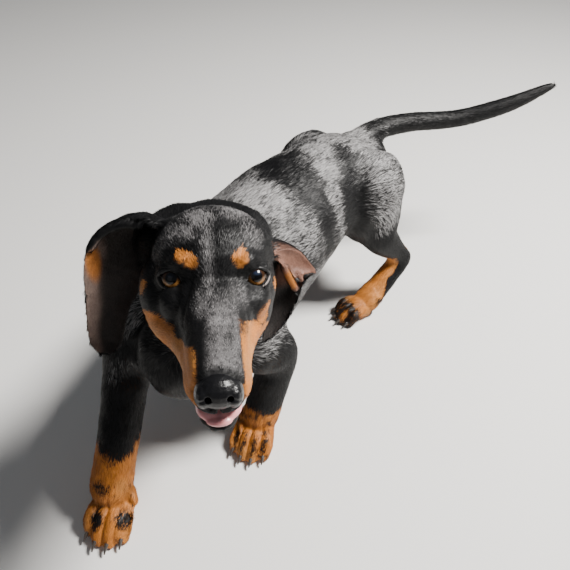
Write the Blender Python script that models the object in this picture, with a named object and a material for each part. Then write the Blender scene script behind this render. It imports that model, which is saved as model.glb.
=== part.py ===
"""A smooth-haired dachshund at life size, walking, its head turned to its left and raised.

Metres, +Z up. The dog faces -Y and its left side is +X. The flesh is built whole from named
muscles and bones, fused and smoothed, then parted into nodes with thin cuts.
"""

import math

import bmesh
import bpy
import numpy as np
from mathutils import Euler, Matrix, Vector

# Fit between neighbours
GAP = 0.0003

# How finely the flesh is fused, how often all of it and its broad forms are smoothed, and how
# many triangles it keeps
FUSE_VOXEL = 0.0017
FINE_ROUNDS = 5
BROAD_ROUNDS = 14
FLESH_TRIANGLES = 7500
DETAIL_BIAS = 0.52

# The torso, from rump to breastbone: centre, half width, height above and below the centre
TORSO = (
    (-0.001, 0.214, 0.165, 0.040, 0.036, 0.042),
    (0.000, 0.180, 0.161, 0.057, 0.052, 0.058),
    (-0.001, 0.115, 0.161, 0.061, 0.058, 0.061),
    (0.003, 0.045, 0.156, 0.067, 0.065, 0.072),
    (0.014, -0.025, 0.150, 0.070, 0.071, 0.076),
    (0.034, -0.085, 0.149, 0.062, 0.064, 0.068),
    (0.048, -0.128, 0.146, 0.044, 0.046, 0.048),
)
NECK = (
    (0.022, -0.046, 0.180, 0.052, 0.050, 0.052),
    (0.046, -0.084, 0.210, 0.045, 0.046, 0.050),
    (0.068, -0.108, 0.240, 0.041, 0.041, 0.043),
    (0.080, -0.120, 0.258, 0.035, 0.035, 0.036),
)
# Root to tip: centre, half width, height above and below
TAIL = (
    (0.000, 0.190, 0.186, 0.018, 0.018, 0.020),
    (0.006, 0.232, 0.198, 0.0140, 0.0135, 0.0145),
    (0.030, 0.278, 0.200, 0.0125, 0.0120, 0.0125),
    (0.072, 0.328, 0.199, 0.0115, 0.0110, 0.0115),
    (0.116, 0.376, 0.2125, 0.0102, 0.0105, 0.0100),
    (0.150, 0.415, 0.2315, 0.0060, 0.0060, 0.0058),
)

# Each foreleg from shoulder to pastern: centre, half width, reach forward and back
FORELEG_LEFT = (
    (0.066, -0.072, 0.165, 0.024, 0.036, 0.036),
    (0.080, -0.074, 0.128, 0.023, 0.030, 0.034),
    (0.086, -0.052, 0.102, 0.0205, 0.022, 0.025),
    (0.086, -0.062, 0.066, 0.0185, 0.018, 0.019),
    (0.084, -0.076, 0.030, 0.0190, 0.017, 0.017),
)
FORELEG_RIGHT = (
    (0.004, -0.102, 0.165, 0.024, 0.038, 0.036),
    (-0.008, -0.140, 0.140, 0.024, 0.032, 0.032),
    (0.000, -0.162, 0.112, 0.0215, 0.023, 0.025),
    (0.018, -0.196, 0.070, 0.0195, 0.019, 0.019),
    (0.030, -0.224, 0.032, 0.0200, 0.018, 0.018),
)
# Each hind leg from hip to hock, and from hock to toes
HINDLEG_LEFT = (
    (0.046, 0.182, 0.165, 0.032, 0.042, 0.040),
    (0.058, 0.172, 0.126, 0.027, 0.036, 0.036),
    (0.067, 0.170, 0.104, 0.020, 0.022, 0.026),
    (0.076, 0.187, 0.082, 0.0150, 0.015, 0.017),
    (0.083, 0.200, 0.065, 0.0125, 0.013, 0.014),
)
SHANK_LEFT = (
    (0.084, 0.202, 0.064, 0.0130, 0.0125, 0.0130),
    (0.077, 0.176, 0.041, 0.0148, 0.0125, 0.0130),
    (0.070, 0.150, 0.020, 0.0175, 0.0125, 0.0120),
)
HINDLEG_RIGHT = (
    (-0.044, 0.180, 0.165, 0.032, 0.042, 0.040),
    (-0.056, 0.158, 0.126, 0.027, 0.038, 0.038),
    (-0.062, 0.140, 0.100, 0.021, 0.027, 0.028),
    (-0.065, 0.175, 0.077, 0.0155, 0.017, 0.018),
    (-0.066, 0.205, 0.058, 0.0120, 0.013, 0.014),
)
SHANK_RIGHT = (
    (-0.066, 0.208, 0.060, 0.0120, 0.0130, 0.0130),
    (-0.065, 0.196, 0.036, 0.0135, 0.0120, 0.0125),
    (-0.064, 0.184, 0.020, 0.0165, 0.0125, 0.0120),
)

# Paws: middle on the ground, the way that the toes point in degrees from -Y towards +X, size
PAWS = {
    "forepaw_left": ((0.084, -0.082), 20, 0.96),
    "forepaw_right": ((0.037, -0.228), 26, 0.98),
    "hindpaw_left": ((0.065, 0.139), -24, 0.86),
    "hindpaw_right": ((-0.064, 0.172), 4, 0.86),
}
# Toes: how far to the side, and how far the toe reaches forward
TOES = ((-0.0155, 0.026), (-0.0054, 0.033), (0.0054, 0.033), (0.0155, 0.026))
TOE_R = 0.0080
CLAW_LENGTH = 0.0078
CLAW_R = 0.0023

# The head turns about the point midway between the eyes
HEAD_CENTRE = Vector((0.1235, -0.160, 0.282))
HEAD_TURN = math.radians(46)
HEAD_LIFT = math.radians(24)
HEAD_ROLL = math.radians(3.7)

# Head sizes, in the head's own frame: +X its left, -Y forward, +Z up, from between the eyes
EYE_X, EYE_Y, EYE_Z = 0.0256, 0.004, 0.0002
EYE_R = 0.0096
LID_R = 0.0130
# The lids face this far out and up, and open by this half width and half height, the outer
# corner the higher
LID_OUT, LID_UP, LID_TILT = math.radians(12), math.radians(8), math.radians(22)
LID_WIDE, LID_HIGH = 0.0078, 0.0056
# The mouth, from its corners to past the nose: how far forward, how high, and half its opening
MOUTH = (
    (-0.010, -0.0500, 0.0006),
    (-0.040, -0.0490, 0.0022),
    (-0.070, -0.0488, 0.0032),
    (-0.120, -0.0490, 0.0046),
)
THROAT = ((-0.010, -0.0500), (0.012, -0.0560), (0.034, -0.0800))
# The nose: its body, and the wing of its left side
NOSE = ((0, -0.0945, -0.0335), (0.0116, 0.0090, 0.0094))
NOSE_WING = ((0.0076, -0.0938, -0.0350), (0.0053, 0.0086, 0.0076))
# The left nostril, a round hole with a slit from it to the side: places and half widths
NOSTRIL = (
    ((0.0060, -0.1060, -0.0346, 0.0023), (0.0052, -0.0985, -0.0352, 0.0016)),
    (
        (0.0070, -0.1030, -0.0352, 0.0014),
        (0.0106, -0.1016, -0.0366, 0.0012),
        (0.0136, -0.0970, -0.0374, 0.0008),
    ),
)
MUZZLE = (
    (0.0, 0.030, -0.014, 0.036, 0.030, 0.034),
    (0.0, -0.004, -0.019, 0.027, 0.025, 0.030),
    (0.0, -0.035, -0.026, 0.0205, 0.019, 0.021),
    (0.0, -0.068, -0.030, 0.0175, 0.0143, 0.0165),
    (0.0, -0.084, -0.0322, 0.0158, 0.0130, 0.0145),
    (0.0, -0.0945, -0.0345, 0.0128, 0.0120, 0.0120),
)
JAW = (
    (0.0, 0.030, -0.046, 0.027, 0.012, 0.010),
    (0.0, -0.010, -0.053, 0.0210, 0.009, 0.008),
    (0.0, -0.050, -0.0570, 0.0140, 0.006, 0.0062),
    (0.0, -0.073, -0.0575, 0.0120, 0.0050, 0.0050),
    (0.0, -0.0845, -0.0575, 0.0090, 0.0042, 0.0038),
)
# From the cheek down to the lip: the fullness that makes the face one long wedge. The turned
# neck fills the right cheek and draws in the left
CHEEK_LEFT = (
    (0.0310, 0.046, -0.026, 0.0130, 0.018, 0.018),
    (0.0258, 0.018, -0.030, 0.0125, 0.015, 0.0145),
    (0.0172, -0.012, -0.034, 0.0105, 0.012, 0.0125),
    (0.0125, -0.040, -0.036, 0.0094, 0.011, 0.0110),
    (0.0095, -0.064, -0.0365, 0.0092, 0.010, 0.0105),
)
CHEEK_RIGHT = (
    (-0.0370, 0.046, -0.026, 0.0145, 0.018, 0.018),
    (-0.0305, 0.018, -0.032, 0.0145, 0.016, 0.0150),
    (-0.0200, -0.012, -0.034, 0.0115, 0.013, 0.0130),
    (-0.0130, -0.040, -0.036, 0.0102, 0.011, 0.0110),
    (-0.0095, -0.064, -0.0365, 0.0092, 0.010, 0.0105),
)
# Under each temple: centre and reach
JOWLS = (
    ((0.0310, 0.034, -0.012), (0.0125, 0.034, 0.022)),
    ((-0.0375, 0.034, -0.015), (0.0140, 0.036, 0.024)),
)
TONGUE = (
    (0.0, -0.034, -0.0484, 0.0095, 0.0014, 0.0014),
    (0.0, -0.054, -0.0487, 0.0112, 0.0026, 0.0020),
    (0.0, -0.074, -0.0480, 0.0124, 0.0050, 0.0032),
    (0.0, -0.082, -0.0488, 0.0126, 0.0056, 0.0034),
    (0.0, -0.0870, -0.0503, 0.0112, 0.0048, 0.0028),
    (0.0, -0.0903, -0.0521, 0.0074, 0.0027, 0.0020),
)
# Each ear, row by row from root to tip: its outer margin, its margin beside the neck, and how
# deep the flap cups away from the face
EAR_RIGHT = (
    ((-0.026, 0.036, 0.026), (-0.024, 0.066, 0.014), 0.002),
    ((-0.050, 0.045, 0.0325), (-0.042, 0.073, 0.022), 0.005),
    ((-0.064, 0.046, 0.0310), (-0.047, 0.073, 0.013), 0.008),
    ((-0.0765, 0.046, 0.0250), (-0.050, 0.070, 0.003), 0.011),
    ((-0.0865, 0.049, 0.0125), (-0.051, 0.066, -0.007), 0.013),
    ((-0.0920, 0.055, -0.0080), (-0.0540, 0.060, -0.020), 0.014),
    ((-0.0935, 0.061, -0.0300), (-0.0615, 0.060, -0.036), 0.013),
    ((-0.0950, 0.066, -0.0520), (-0.0660, 0.062, -0.053), 0.010),
    ((-0.0940, 0.068, -0.0670), (-0.070, 0.065, -0.068), 0.007),
    ((-0.0880, 0.069, -0.0760), (-0.080, 0.068, -0.0765), 0.002),
)
EAR_LEFT = (
    ((0.034, 0.036, 0.0160), (0.026, 0.064, 0.012), 0.002),
    ((0.0455, 0.037, 0.0105), (0.036, 0.068, 0.006), 0.005),
    ((0.0560, 0.0445, 0.0090), (0.041, 0.067, -0.004), 0.008),
    ((0.0640, 0.0495, 0.0045), (0.043, 0.064, -0.014), 0.011),
    ((0.0715, 0.0535, -0.0045), (0.043, 0.061, -0.022), 0.012),
    ((0.0755, 0.0555, -0.0115), (0.043, 0.060, -0.028), 0.012),
    ((0.0690, 0.0575, -0.0190), (0.042, 0.059, -0.034), 0.012),
    ((0.0654, 0.0600, -0.0290), (0.041, 0.058, -0.042), 0.012),
    ((0.0622, 0.0620, -0.0390), (0.040, 0.059, -0.049), 0.010),
    ((0.0552, 0.0645, -0.0530), (0.038, 0.061, -0.058), 0.007),
    ((0.0470, 0.0660, -0.0640), (0.037, 0.063, -0.065), 0.004),
    ((0.0400, 0.0670, -0.0695), (0.037, 0.066, -0.070), 0.001),
)
# The left ear's mouth is turned out: a flap in front of the leather, with its upper and lower
# margins, and two lobes below it, with their half thickness
EAR_FLAP = (
    ((0.0430, 0.034, 0.0100), (0.0425, 0.033, 0.0050), 0.001),
    ((0.0500, 0.040, 0.0100), (0.0475, 0.037, -0.0015), 0.003),
    ((0.0560, 0.0445, 0.0088), (0.0516, 0.040, -0.0105), 0.004),
    ((0.0629, 0.049, 0.0050), (0.0565, 0.043, -0.0135), 0.004),
    ((0.0686, 0.052, -0.0010), (0.0624, 0.048, -0.0120), 0.003),
    ((0.0735, 0.054, -0.0070), (0.0690, 0.052, -0.0120), 0.001),
    ((0.0765, 0.0555, -0.0110), (0.0752, 0.055, -0.0122), 0.0),
)
EAR_LOBES = (
    (((0.0500, 0.038, -0.003), (0.0542, 0.041, -0.012), (0.0590, 0.0445, -0.0205)), 0.0030),
    (((0.0610, 0.0475, -0.0105), (0.0640, 0.0500, -0.0155)), 0.0024),
)
# The rolled upper edge of the right ear, with its half thickness
EAR_ROLL = (
    ((-0.048, 0.046, 0.029), (-0.062, 0.0475, 0.0285), (-0.075, 0.048, 0.0225), (-0.0845, 0.051, 0.011)),
    0.0030,
)
EAR_THICK = 0.0026


def head_matrix():
    """From the head's own frame to the dog's."""
    turned = Matrix.Rotation(HEAD_TURN, 4, "Z")
    lifted = Matrix.Rotation(-HEAD_LIFT, 4, "X")
    rolled = Matrix.Rotation(HEAD_ROLL, 4, "Y")
    return Matrix.Translation(HEAD_CENTRE) @ turned @ lifted @ rolled


def clear_scene():
    for obj in list(bpy.data.objects):
        bpy.data.objects.remove(obj)


def spline(rows, steps):
    """Rows of numbers, smoothed through every row, with that many steps to each span."""
    rows = np.array(rows, float)
    ends = np.vstack([2 * rows[0] - rows[1], rows, 2 * rows[-1] - rows[-2]])
    out = []
    for i in range(1, len(rows)):
        a, b, c, d = ends[i - 1 : i + 3]
        for t in np.arange(steps) / steps:
            out.append(
                0.5 * (2 * b + (c - a) * t + (2 * a - 5 * b + 4 * c - d) * t**2
                       + (3 * b - 3 * c + d - a) * t**3)
            )
    out.append(rows[-1])
    return np.array(out)


def tube(stations, upward=(0, 0, 1), sides=24, steps=5, square=2.0, bends=4, blunt=1.0):
    """A closed tube with round ends of that many bends, flatter where blunt is less than 1. Each
    station is a centre, a half width, and the reach towards upward and away from it. square over
    2 fills the section's corners."""
    rows = spline(stations, steps)
    centre, reach = rows[:, :3], np.maximum(rows[:, 3:], 1e-4)
    along = np.gradient(centre, axis=0)
    along /= np.linalg.norm(along, axis=1)[:, None]
    rings = []

    def ring(at, direction, size, scale):
        side = np.cross(direction, np.array(upward, float))
        side /= np.linalg.norm(side)
        up = np.cross(side, direction)
        points = []
        for k in range(sides):
            a = 2 * math.pi * k / sides
            c, s = math.cos(a), math.sin(a)
            fill = (abs(c) ** square + abs(s) ** square) ** (-1 / square)
            height = size[1] if s > 0 else size[2]
            points.append(at + (side * c * size[0] + up * s * height) * fill * scale)
        return points

    cap = np.radians(np.linspace(80, 80 / bends, bends))
    for angle in cap:
        out = -blunt * reach[0].mean() * math.sin(angle)
        rings.append(ring(centre[0] + along[0] * out, along[0], reach[0], math.cos(angle)))
    for at, direction, size in zip(centre, along, reach):
        rings.append(ring(at, direction, size, 1.0))
    for angle in cap[::-1]:
        out = blunt * reach[-1].mean() * math.sin(angle)
        rings.append(ring(centre[-1] + along[-1] * out, along[-1], reach[-1], math.cos(angle)))
    verts = [p for one in rings for p in one]
    faces = []
    for i in range(len(rings) - 1):
        for k in range(sides):
            n = (k + 1) % sides
            faces.append((i * sides + k, i * sides + n, (i + 1) * sides + n, (i + 1) * sides + k))
    faces.append(tuple(range(sides))[::-1])
    last = (len(rings) - 1) * sides
    faces.append(tuple(last + k for k in range(sides)))
    return verts, faces


def lump(centre, radii, turn=(0, 0, 0), rings=12, segments=20):
    """An ellipsoid, turned by degrees about X, Y and Z."""
    matrix = Matrix.Translation(centre) @ Euler([math.radians(t) for t in turn]).to_matrix().to_4x4()
    bm = bmesh.new()
    bmesh.ops.create_uvsphere(bm, u_segments=segments, v_segments=rings, radius=1.0)
    verts = [matrix @ Vector(np.array(v.co) * radii) for v in bm.verts]
    faces = [tuple(v.index for v in f.verts) for f in bm.faces]
    bm.free()
    return verts, faces


def moved(form, matrix):
    verts, faces = form
    return [matrix @ Vector(v) for v in verts], faces


def mirrored(form):
    """The form on the other side of the head's own X."""
    verts, faces = form
    return [Vector((-v[0], v[1], v[2])) for v in verts], [f[::-1] for f in faces]


def add_mesh(name, forms):
    """One object that holds several closed forms, their faces pointing out."""
    verts, faces = [], []
    for form_verts, form_faces in forms:
        base = len(verts)
        verts += [tuple(v) for v in form_verts]
        faces += [tuple(base + i for i in f) for f in form_faces]
    mesh = bpy.data.meshes.new(name)
    mesh.from_pydata(verts, [], faces)
    bm = bmesh.new()
    bm.from_mesh(mesh)
    bmesh.ops.recalc_face_normals(bm, faces=bm.faces)
    bm.to_mesh(mesh)
    bm.free()
    obj = bpy.data.objects.new(name, mesh)
    bpy.context.scene.collection.objects.link(obj)
    return obj


def apply_modifiers(obj):
    graph = bpy.context.evaluated_depsgraph_get()
    mesh = bpy.data.meshes.new_from_object(obj.evaluated_get(graph))
    obj.modifiers.clear()
    old = obj.data
    obj.data = mesh
    bpy.data.meshes.remove(old)


def torso_forms():
    return [
        tube(TORSO),
        tube(NECK, upward=(0, 1, 0.3)),
        tube(TAIL, sides=16),
        lump((0.050, -0.100, 0.160), (0.026, 0.040, 0.046), (0, 0, 20)),
        lump((0.000, -0.085, 0.166), (0.030, 0.044, 0.046), (0, 0, 20)),
    ]


def head_forms():
    """Skull, muzzle, cheeks, brows and lid rims, in the dog's frame."""
    forms = [
        lump((0, 0.040, 0.007), (0.043, 0.054, 0.034)),
        lump((0, 0.017, 0.005), (0.031, 0.031, 0.021)),
        lump((0, 0.070, -0.012), (0.038, 0.034, 0.038)),
        lump((0.003, 0.094, -0.004), (0.045, 0.044, 0.0428)),
        lump((-0.038, 0.072, 0.012), (0.018, 0.026, 0.0205)),
        lump((-0.0240, 0.084, -0.004), (0.0300, 0.034, 0.0415)),
        lump((0.0270, 0.082, -0.006), (0.0225, 0.034, 0.0395)),
        tube(MUZZLE, square=2.4, blunt=0.4),
        lump((0, -0.0860, -0.0385), (0.0146, 0.0150, 0.0107)),
        tube(JAW, square=2.4),
        tube(CHEEK_LEFT),
        tube(CHEEK_RIGHT),
    ]
    forms += [lump(centre, reach) for centre, reach in JOWLS]
    for one in (
        lump((0.0205, 0.005, 0.0115), (0.0135, 0.016, 0.0085), (0, 25, 0)),
        lump((0.0098, -0.063, -0.0380), (0.0100, 0.0315, 0.0100)),
        lump((EYE_X, EYE_Y, EYE_Z), (LID_R,) * 3),
        lump((0.0225, 0.008, -0.0140), (0.0150, 0.026, 0.0170)),
    ):
        forms += [one, mirrored(one)]
    return [moved(f, head_matrix()) for f in forms]


def paw_frame(name):
    (x, y), turn, size = PAWS[name]
    place = Matrix.Translation((x, y, 0)) @ Matrix.Rotation(math.radians(turn), 4, "Z")
    return place @ Matrix.Scale(size, 4)


def toe_line(side, reach):
    """The middle of one toe, from the pastern over the knuckle to the ground."""
    return (
        (side * 0.60, 0.006, 0.0190),
        (side * 0.92, -reach * 0.42, 0.0185),
        (side * 1.04, -reach * 0.80, 0.0115),
        (side * 1.06, -reach, 0.0050),
    )


def paw_forms(name):
    forms = [
        lump((0, 0.002, 0.0150), (0.0185, 0.023, 0.0165)),
        lump((0, 0.012, 0.0040), (0.0145, 0.012, 0.0080)),
        lump((0, -0.010, 0.0035), (0.0110, 0.012, 0.0070)),
    ]
    for side, reach in TOES:
        sizes = (TOE_R, TOE_R * 1.08, TOE_R, TOE_R * 0.80)
        forms.append(tube([(*p, r, r, r) for p, r in zip(toe_line(side, reach), sizes)], sides=14))
    return [moved(f, paw_frame(name)) for f in forms]


def leg_forms():
    forms = [
        tube(FORELEG_LEFT, upward=(0.42, -0.9, 0)),
        tube(FORELEG_RIGHT, upward=(0.42, -0.7, 0.5)),
        tube(HINDLEG_LEFT, upward=(0, -1, 0.1)),
        tube(HINDLEG_RIGHT, upward=(0, -1, 0.1)),
        tube(SHANK_LEFT, upward=(0, -0.6, 1)),
        tube(SHANK_RIGHT, upward=(0, -0.6, 1)),
        lump((0.047, 0.174, 0.150), (0.034, 0.054, 0.056)),
        lump((-0.044, 0.170, 0.150), (0.033, 0.054, 0.056)),
    ]
    for name in PAWS:
        forms += paw_forms(name)
    return forms


def triangles(obj):
    obj.data.calc_loop_triangles()
    return len(obj.data.loop_triangles)


def flatten_feet(obj):
    """Takes away what lies under the ground and leaves flats at one level."""
    bm = bmesh.new()
    bm.from_mesh(obj.data)
    geometry = bm.verts[:] + bm.edges[:] + bm.faces[:]
    bmesh.ops.bisect_plane(bm, geom=geometry, plane_co=(0, 0, 0), plane_no=(0, 0, -1), clear_outer=True)
    bmesh.ops.holes_fill(bm, edges=[e for e in bm.edges if e.is_boundary])
    bmesh.ops.triangulate(bm, faces=bm.faces[:])
    bm.to_mesh(obj.data)
    bm.free()


def smoothed(obj, rounds, weights=None):
    soften = obj.modifiers.new("soften", "SMOOTH")
    soften.factor = 0.5
    soften.iterations = rounds
    if weights is not None:
        group = obj.vertex_groups.new(name="broad")
        for i, weight in enumerate(weights):
            group.add((i,), float(weight), "REPLACE")
        soften.vertex_group = "broad"
    apply_modifiers(obj)


def points(obj):
    out = np.empty(len(obj.data.vertices) * 3)
    obj.data.vertices.foreach_get("co", out)
    return out.reshape(-1, 3)


def breadth(where):
    """Near 1 on the broad forms of the body, near 0 on the front of the head and on the feet."""
    own = np.array(head_matrix().inverted())
    local = where @ own[:3, :3].T + own[:3, 3]
    off_face = np.clip((local[:, 1] - 0.030) / 0.05, 0, 1)
    far = np.clip((np.linalg.norm(local, axis=1) - 0.12) / 0.03, 0, 1)
    above = np.clip((where[:, 2] - 0.030) / 0.03, 0, 1)
    return np.maximum(off_face, far) * above


def whole_flesh():
    """The dog's skin as one closed body, with its mouth open."""
    flesh = add_mesh("flesh", torso_forms() + head_forms() + leg_forms())
    fuse = flesh.modifiers.new("fuse", "REMESH")
    fuse.mode = "VOXEL"
    fuse.voxel_size = FUSE_VOXEL
    apply_modifiers(flesh)
    broad = breadth(points(flesh))
    smoothed(flesh, FINE_ROUNDS)
    smoothed(flesh, BROAD_ROUNDS, broad)
    thin_by_detail(flesh, FLESH_TRIANGLES)
    flatten_feet(flesh)
    return flesh


def thin_by_detail(obj, target):
    """Fewer triangles, with more of them kept on the face and feet."""
    where = points(obj)
    on_tail = np.clip((where[:, 1] - 0.215) / 0.02, 0, 1) * (where[:, 2] > 0.17)
    on_legs = 0.7 * np.clip((0.115 - where[:, 2]) / 0.02, 0, 1)
    detail = np.maximum.reduce([1 - breadth(where), 0.7 * on_tail, on_legs])
    obj.vertex_groups.clear()
    group = obj.vertex_groups.new(name="detail")
    for i, weight in enumerate(detail):
        group.add((i,), DETAIL_BIAS * float(weight), "REPLACE")
    fewer = obj.modifiers.new("thin", "DECIMATE")
    fewer.ratio = target / triangles(obj)
    fewer.vertex_group = "detail"
    fewer.invert_vertex_group = True
    fewer.vertex_group_factor = 1.0
    apply_modifiers(obj)
    obj.vertex_groups.clear()


def swollen(obj, by):
    """A copy of the object with its surface moved out."""
    bm = bmesh.new()
    bm.from_mesh(obj.data)
    bm.normal_update()
    for v, place in [(v, v.co + v.normal * by) for v in bm.verts]:
        v.co = place
    mesh = bpy.data.meshes.new("swollen")
    bm.to_mesh(mesh)
    bm.free()
    copy = bpy.data.objects.new("swollen", mesh)
    bpy.context.scene.collection.objects.link(copy)
    return copy


def largest_surface(obj):
    """Keeps only the largest closed surface."""
    bm = bmesh.new()
    bm.from_mesh(obj.data)
    seen = set()
    best = []
    for start in bm.faces:
        if start in seen:
            continue
        seen.add(start)
        island, queue = [start], [start]
        while queue:
            for edge in queue.pop().edges:
                for face in edge.link_faces:
                    if face not in seen:
                        seen.add(face)
                        island.append(face)
                        queue.append(face)
        if len(island) > len(best):
            best = island
    kept = set(best)
    bmesh.ops.delete(bm, geom=[f for f in bm.faces if f not in kept], context="FACES")
    bmesh.ops.triangulate(bm, faces=bm.faces[:])
    bm.to_mesh(obj.data)
    bm.free()


def combine(obj, others, operation, solver="EXACT"):
    """A Boolean with each of the others in turn, which are then removed."""
    for other in others:
        step = obj.modifiers.new("combine", "BOOLEAN")
        step.object = other
        step.operation = operation
        step.solver = solver
        apply_modifiers(obj)
        bpy.data.objects.remove(other)
    largest_surface(obj)


def cell(place, size, grow=0.0):
    """A box from the cut face at the place's origin, out along its +Z."""
    wide, deep, tall = size
    at = ((-wide, -deep, -grow), (wide, -deep, -grow), (wide, deep, -grow), (-wide, deep, -grow))
    verts = [place @ Vector(p) for p in at]
    verts += [place @ Vector((p[0], p[1], tall)) for p in at]
    faces = [(3, 2, 1, 0), (4, 5, 6, 7), (0, 1, 5, 4), (1, 2, 6, 5), (2, 3, 7, 6), (3, 0, 4, 7)]
    return verts, faces


def facing(at, direction):
    """A frame at a point, its +Z along the direction and its +Y as near to up as can be."""
    return Matrix.Translation(at) @ Vector(direction).to_track_quat("Z", "Y").to_matrix().to_4x4()


def part_off(flesh, name, solid, wider):
    """Takes what lies in the solid from the flesh as its own object, and leaves the gap."""
    node = flesh.copy()
    node.data = flesh.data.copy()
    node.name = name
    bpy.context.scene.collection.objects.link(node)
    combine(node, [solid], "INTERSECT")
    combine(flesh, [wider], "DIFFERENCE")
    return node


def mouth_wedge():
    rows = []
    for forward, height, half in spline(MOUTH, 4):
        rows.append([(side, forward, height + up * half) for up in (1, -1) for side in (-0.06, 0.06)])
    return strip_of_sections(rows, (0, 1, 3, 2))


def strip_of_sections(rows, order):
    """A closed bar through sections of like points, in the order that runs round them."""
    count = len(order)
    verts = [row[k] for row in rows for k in order]
    faces = []
    for i in range(len(rows) - 1):
        for k in range(count):
            n = (k + 1) % count
            faces.append((i * count + k, i * count + n, (i + 1) * count + n, (i + 1) * count + k))
    faces.append(tuple(range(count))[::-1])
    faces.append(tuple((len(rows) - 1) * count + k for k in range(count)))
    return verts, faces


def jaw_region(raised):
    """Everything below the line of the mouth and in front of the throat's line."""
    line = [(forward, height) for forward, height, half in MOUTH[::-1]] + list(THROAT[1:])
    rows = []
    for forward, height in line:
        lift = raised if height > -0.051 else raised * 1.3
        top = [(side, forward + raised * 0.6, height + lift) for side in (-0.06, 0.06)]
        rows.append(top + [(0.06, forward, -0.13), (-0.06, forward, -0.13)])
    return strip_of_sections(rows, (0, 1, 2, 3))


def eye_place(side):
    """A frame at the eye's centre, its +Z the way that the lids face."""
    gaze = (side * math.sin(LID_OUT), -math.cos(LID_OUT), math.sin(LID_UP))
    return facing((side * EYE_X, EYE_Y, EYE_Z), gaze)


def eye_opening(side):
    """A cone that opens the lids, widest at the front."""
    rows = []
    place = eye_place(side) @ Matrix.Rotation(side * LID_TILT, 4, "Z")
    for out, grow in ((0.003, 0.75), (0.010, 1.0), (0.020, 1.3)):
        ring = []
        for k in range(20):
            a = 2 * math.pi * k / 20
            ring.append(Vector((math.cos(a) * LID_WIDE * grow, math.sin(a) * LID_HIGH * grow, out)))
        rows.append([place @ p for p in ring])
    return strip_of_sections(rows, range(20))


def ear_form(rows, across=7):
    """A cupped flap between two margins, thickest at the root and thin at the rim."""
    flat = [(*outer, *inner, cup) for outer, inner, cup in rows]
    fine = spline(flat, 2)
    front, back = [], []
    for i, row in enumerate(fine):
        outer, inner, cup = row[:3], row[3:6], row[6]
        chord = outer - inner
        down = fine[min(i + 1, len(fine) - 1)] - fine[max(i - 1, 0)]
        down = (down[:3] + down[3:6]) / 2
        away = np.cross(chord, down)
        away *= math.copysign(1, away[1]) / np.linalg.norm(away)
        thick = EAR_THICK * (1.5 - 0.7 * i / (len(fine) - 1))
        for k in range(across):
            t = k / (across - 1)
            bow = 4 * t * (1 - t)
            middle = inner + chord * t + away * cup * bow
            half = away * thick * (0.30 + 0.20 * bow)
            front.append(middle - half)
            back.append(middle + half)
    count = len(fine)
    verts = front + back
    faces = []
    last = count * across
    for i in range(count - 1):
        for k in range(across - 1):
            a, b = i * across + k, i * across + k + 1
            c, d = a + across, b + across
            faces += [(a, b, d), (a, d, c), (last + a, last + d, last + b), (last + a, last + c, last + d)]
        for k in (0, across - 1):
            a, c = i * across + k, (i + 1) * across + k
            faces += [(a, c, last + c), (a, last + c, last + a)]
    for i in (0, count - 1):
        for k in range(across - 1):
            a, b = i * across + k, i * across + k + 1
            faces += [(a, b, last + b), (a, last + b, last + a)]
    return verts, faces


def in_head(form):
    return moved(form, head_matrix())


def make_ear(name, rows, folds, flesh):
    """The leather of one ear with its folds, each given as a closed form."""
    ear = add_mesh(name, [in_head(ear_form(rows))])
    combine(ear, [add_mesh("fold", [in_head(form)]) for form in folds], "UNION")
    combine(ear, [swollen(flesh, GAP)], "DIFFERENCE", "MANIFOLD")
    return ear


def fold(path, half):
    """A rounded fold of one thickness along a path."""
    return tube([(*place, half, half, half) for place in path], sides=8, steps=2, bends=2)


def make_nose():
    """The nose, and its body without the nostrils grown by the gap, to cut its seat with."""
    nose = add_mesh("nose", [in_head(lump(*NOSE, rings=10, segments=18))])
    wing = lump(*NOSE_WING, rings=8, segments=14)
    combine(nose, [add_mesh("wing", [in_head(form)]) for form in (wing, mirrored(wing))], "UNION")
    seat = swollen(nose, GAP)
    holes = []
    for side, line in ((side, line) for side in (1, -1) for line in NOSTRIL):
        path = [(side * x, y, z, r, r, r) for x, y, z, r in line]
        holes.append(add_mesh("nostril", [in_head(tube(path, sides=8, steps=2, bends=1))]))
    groove = [(0, -0.1062, -0.036, *(0.0007,) * 3), (0, -0.101, -0.045, *(0.0007,) * 3)]
    holes.append(add_mesh("groove", [in_head(tube(groove, upward=(1, 0, 0), sides=6, bends=1))]))
    combine(nose, holes, "DIFFERENCE")
    return nose, seat


def make_claws(name):
    """One claw from each toe end, curved down to just above the ground."""
    claws = []
    for side, reach in TOES:
        root = Vector(toe_line(side, reach)[3])
        rise = 0.0035
        path = []
        for t in (0.0, 0.35, 0.7, 1.0):
            radius = CLAW_R * (1.1 - 0.62 * t)
            height = root.z + rise * (1 - 1.1 * t * t)
            at = (root.x * (1 + 0.05 * t), root.y - 0.003 - CLAW_LENGTH * t, height)
            path.append((*at, radius * 0.8, radius, radius))
        claws.append(add_mesh("claw", [moved(tube(path, sides=6, steps=1, bends=1), paw_frame(name))]))
    return claws


def dewclaw(name, inward):
    """The small toe on the inner side of a foreleg above the paw, with its claw."""
    toe = ((0.0130, 0.008, 0.031, 0.0060), (0.0185, 0.001, 0.025, 0.0054))
    claw = ((0.0190, -0.001, 0.024, 0.0019), (0.0195, -0.0075, 0.019, 0.0010))
    pieces = []
    for path in (toe, claw):
        stations = [(inward * x, y, z, r, r, r) for x, y, z, r in path]
        form = moved(tube(stations, sides=8, steps=1, bends=2), paw_frame(name))
        pieces.append(add_mesh("dewclaw", [form]))
    return pieces


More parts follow.
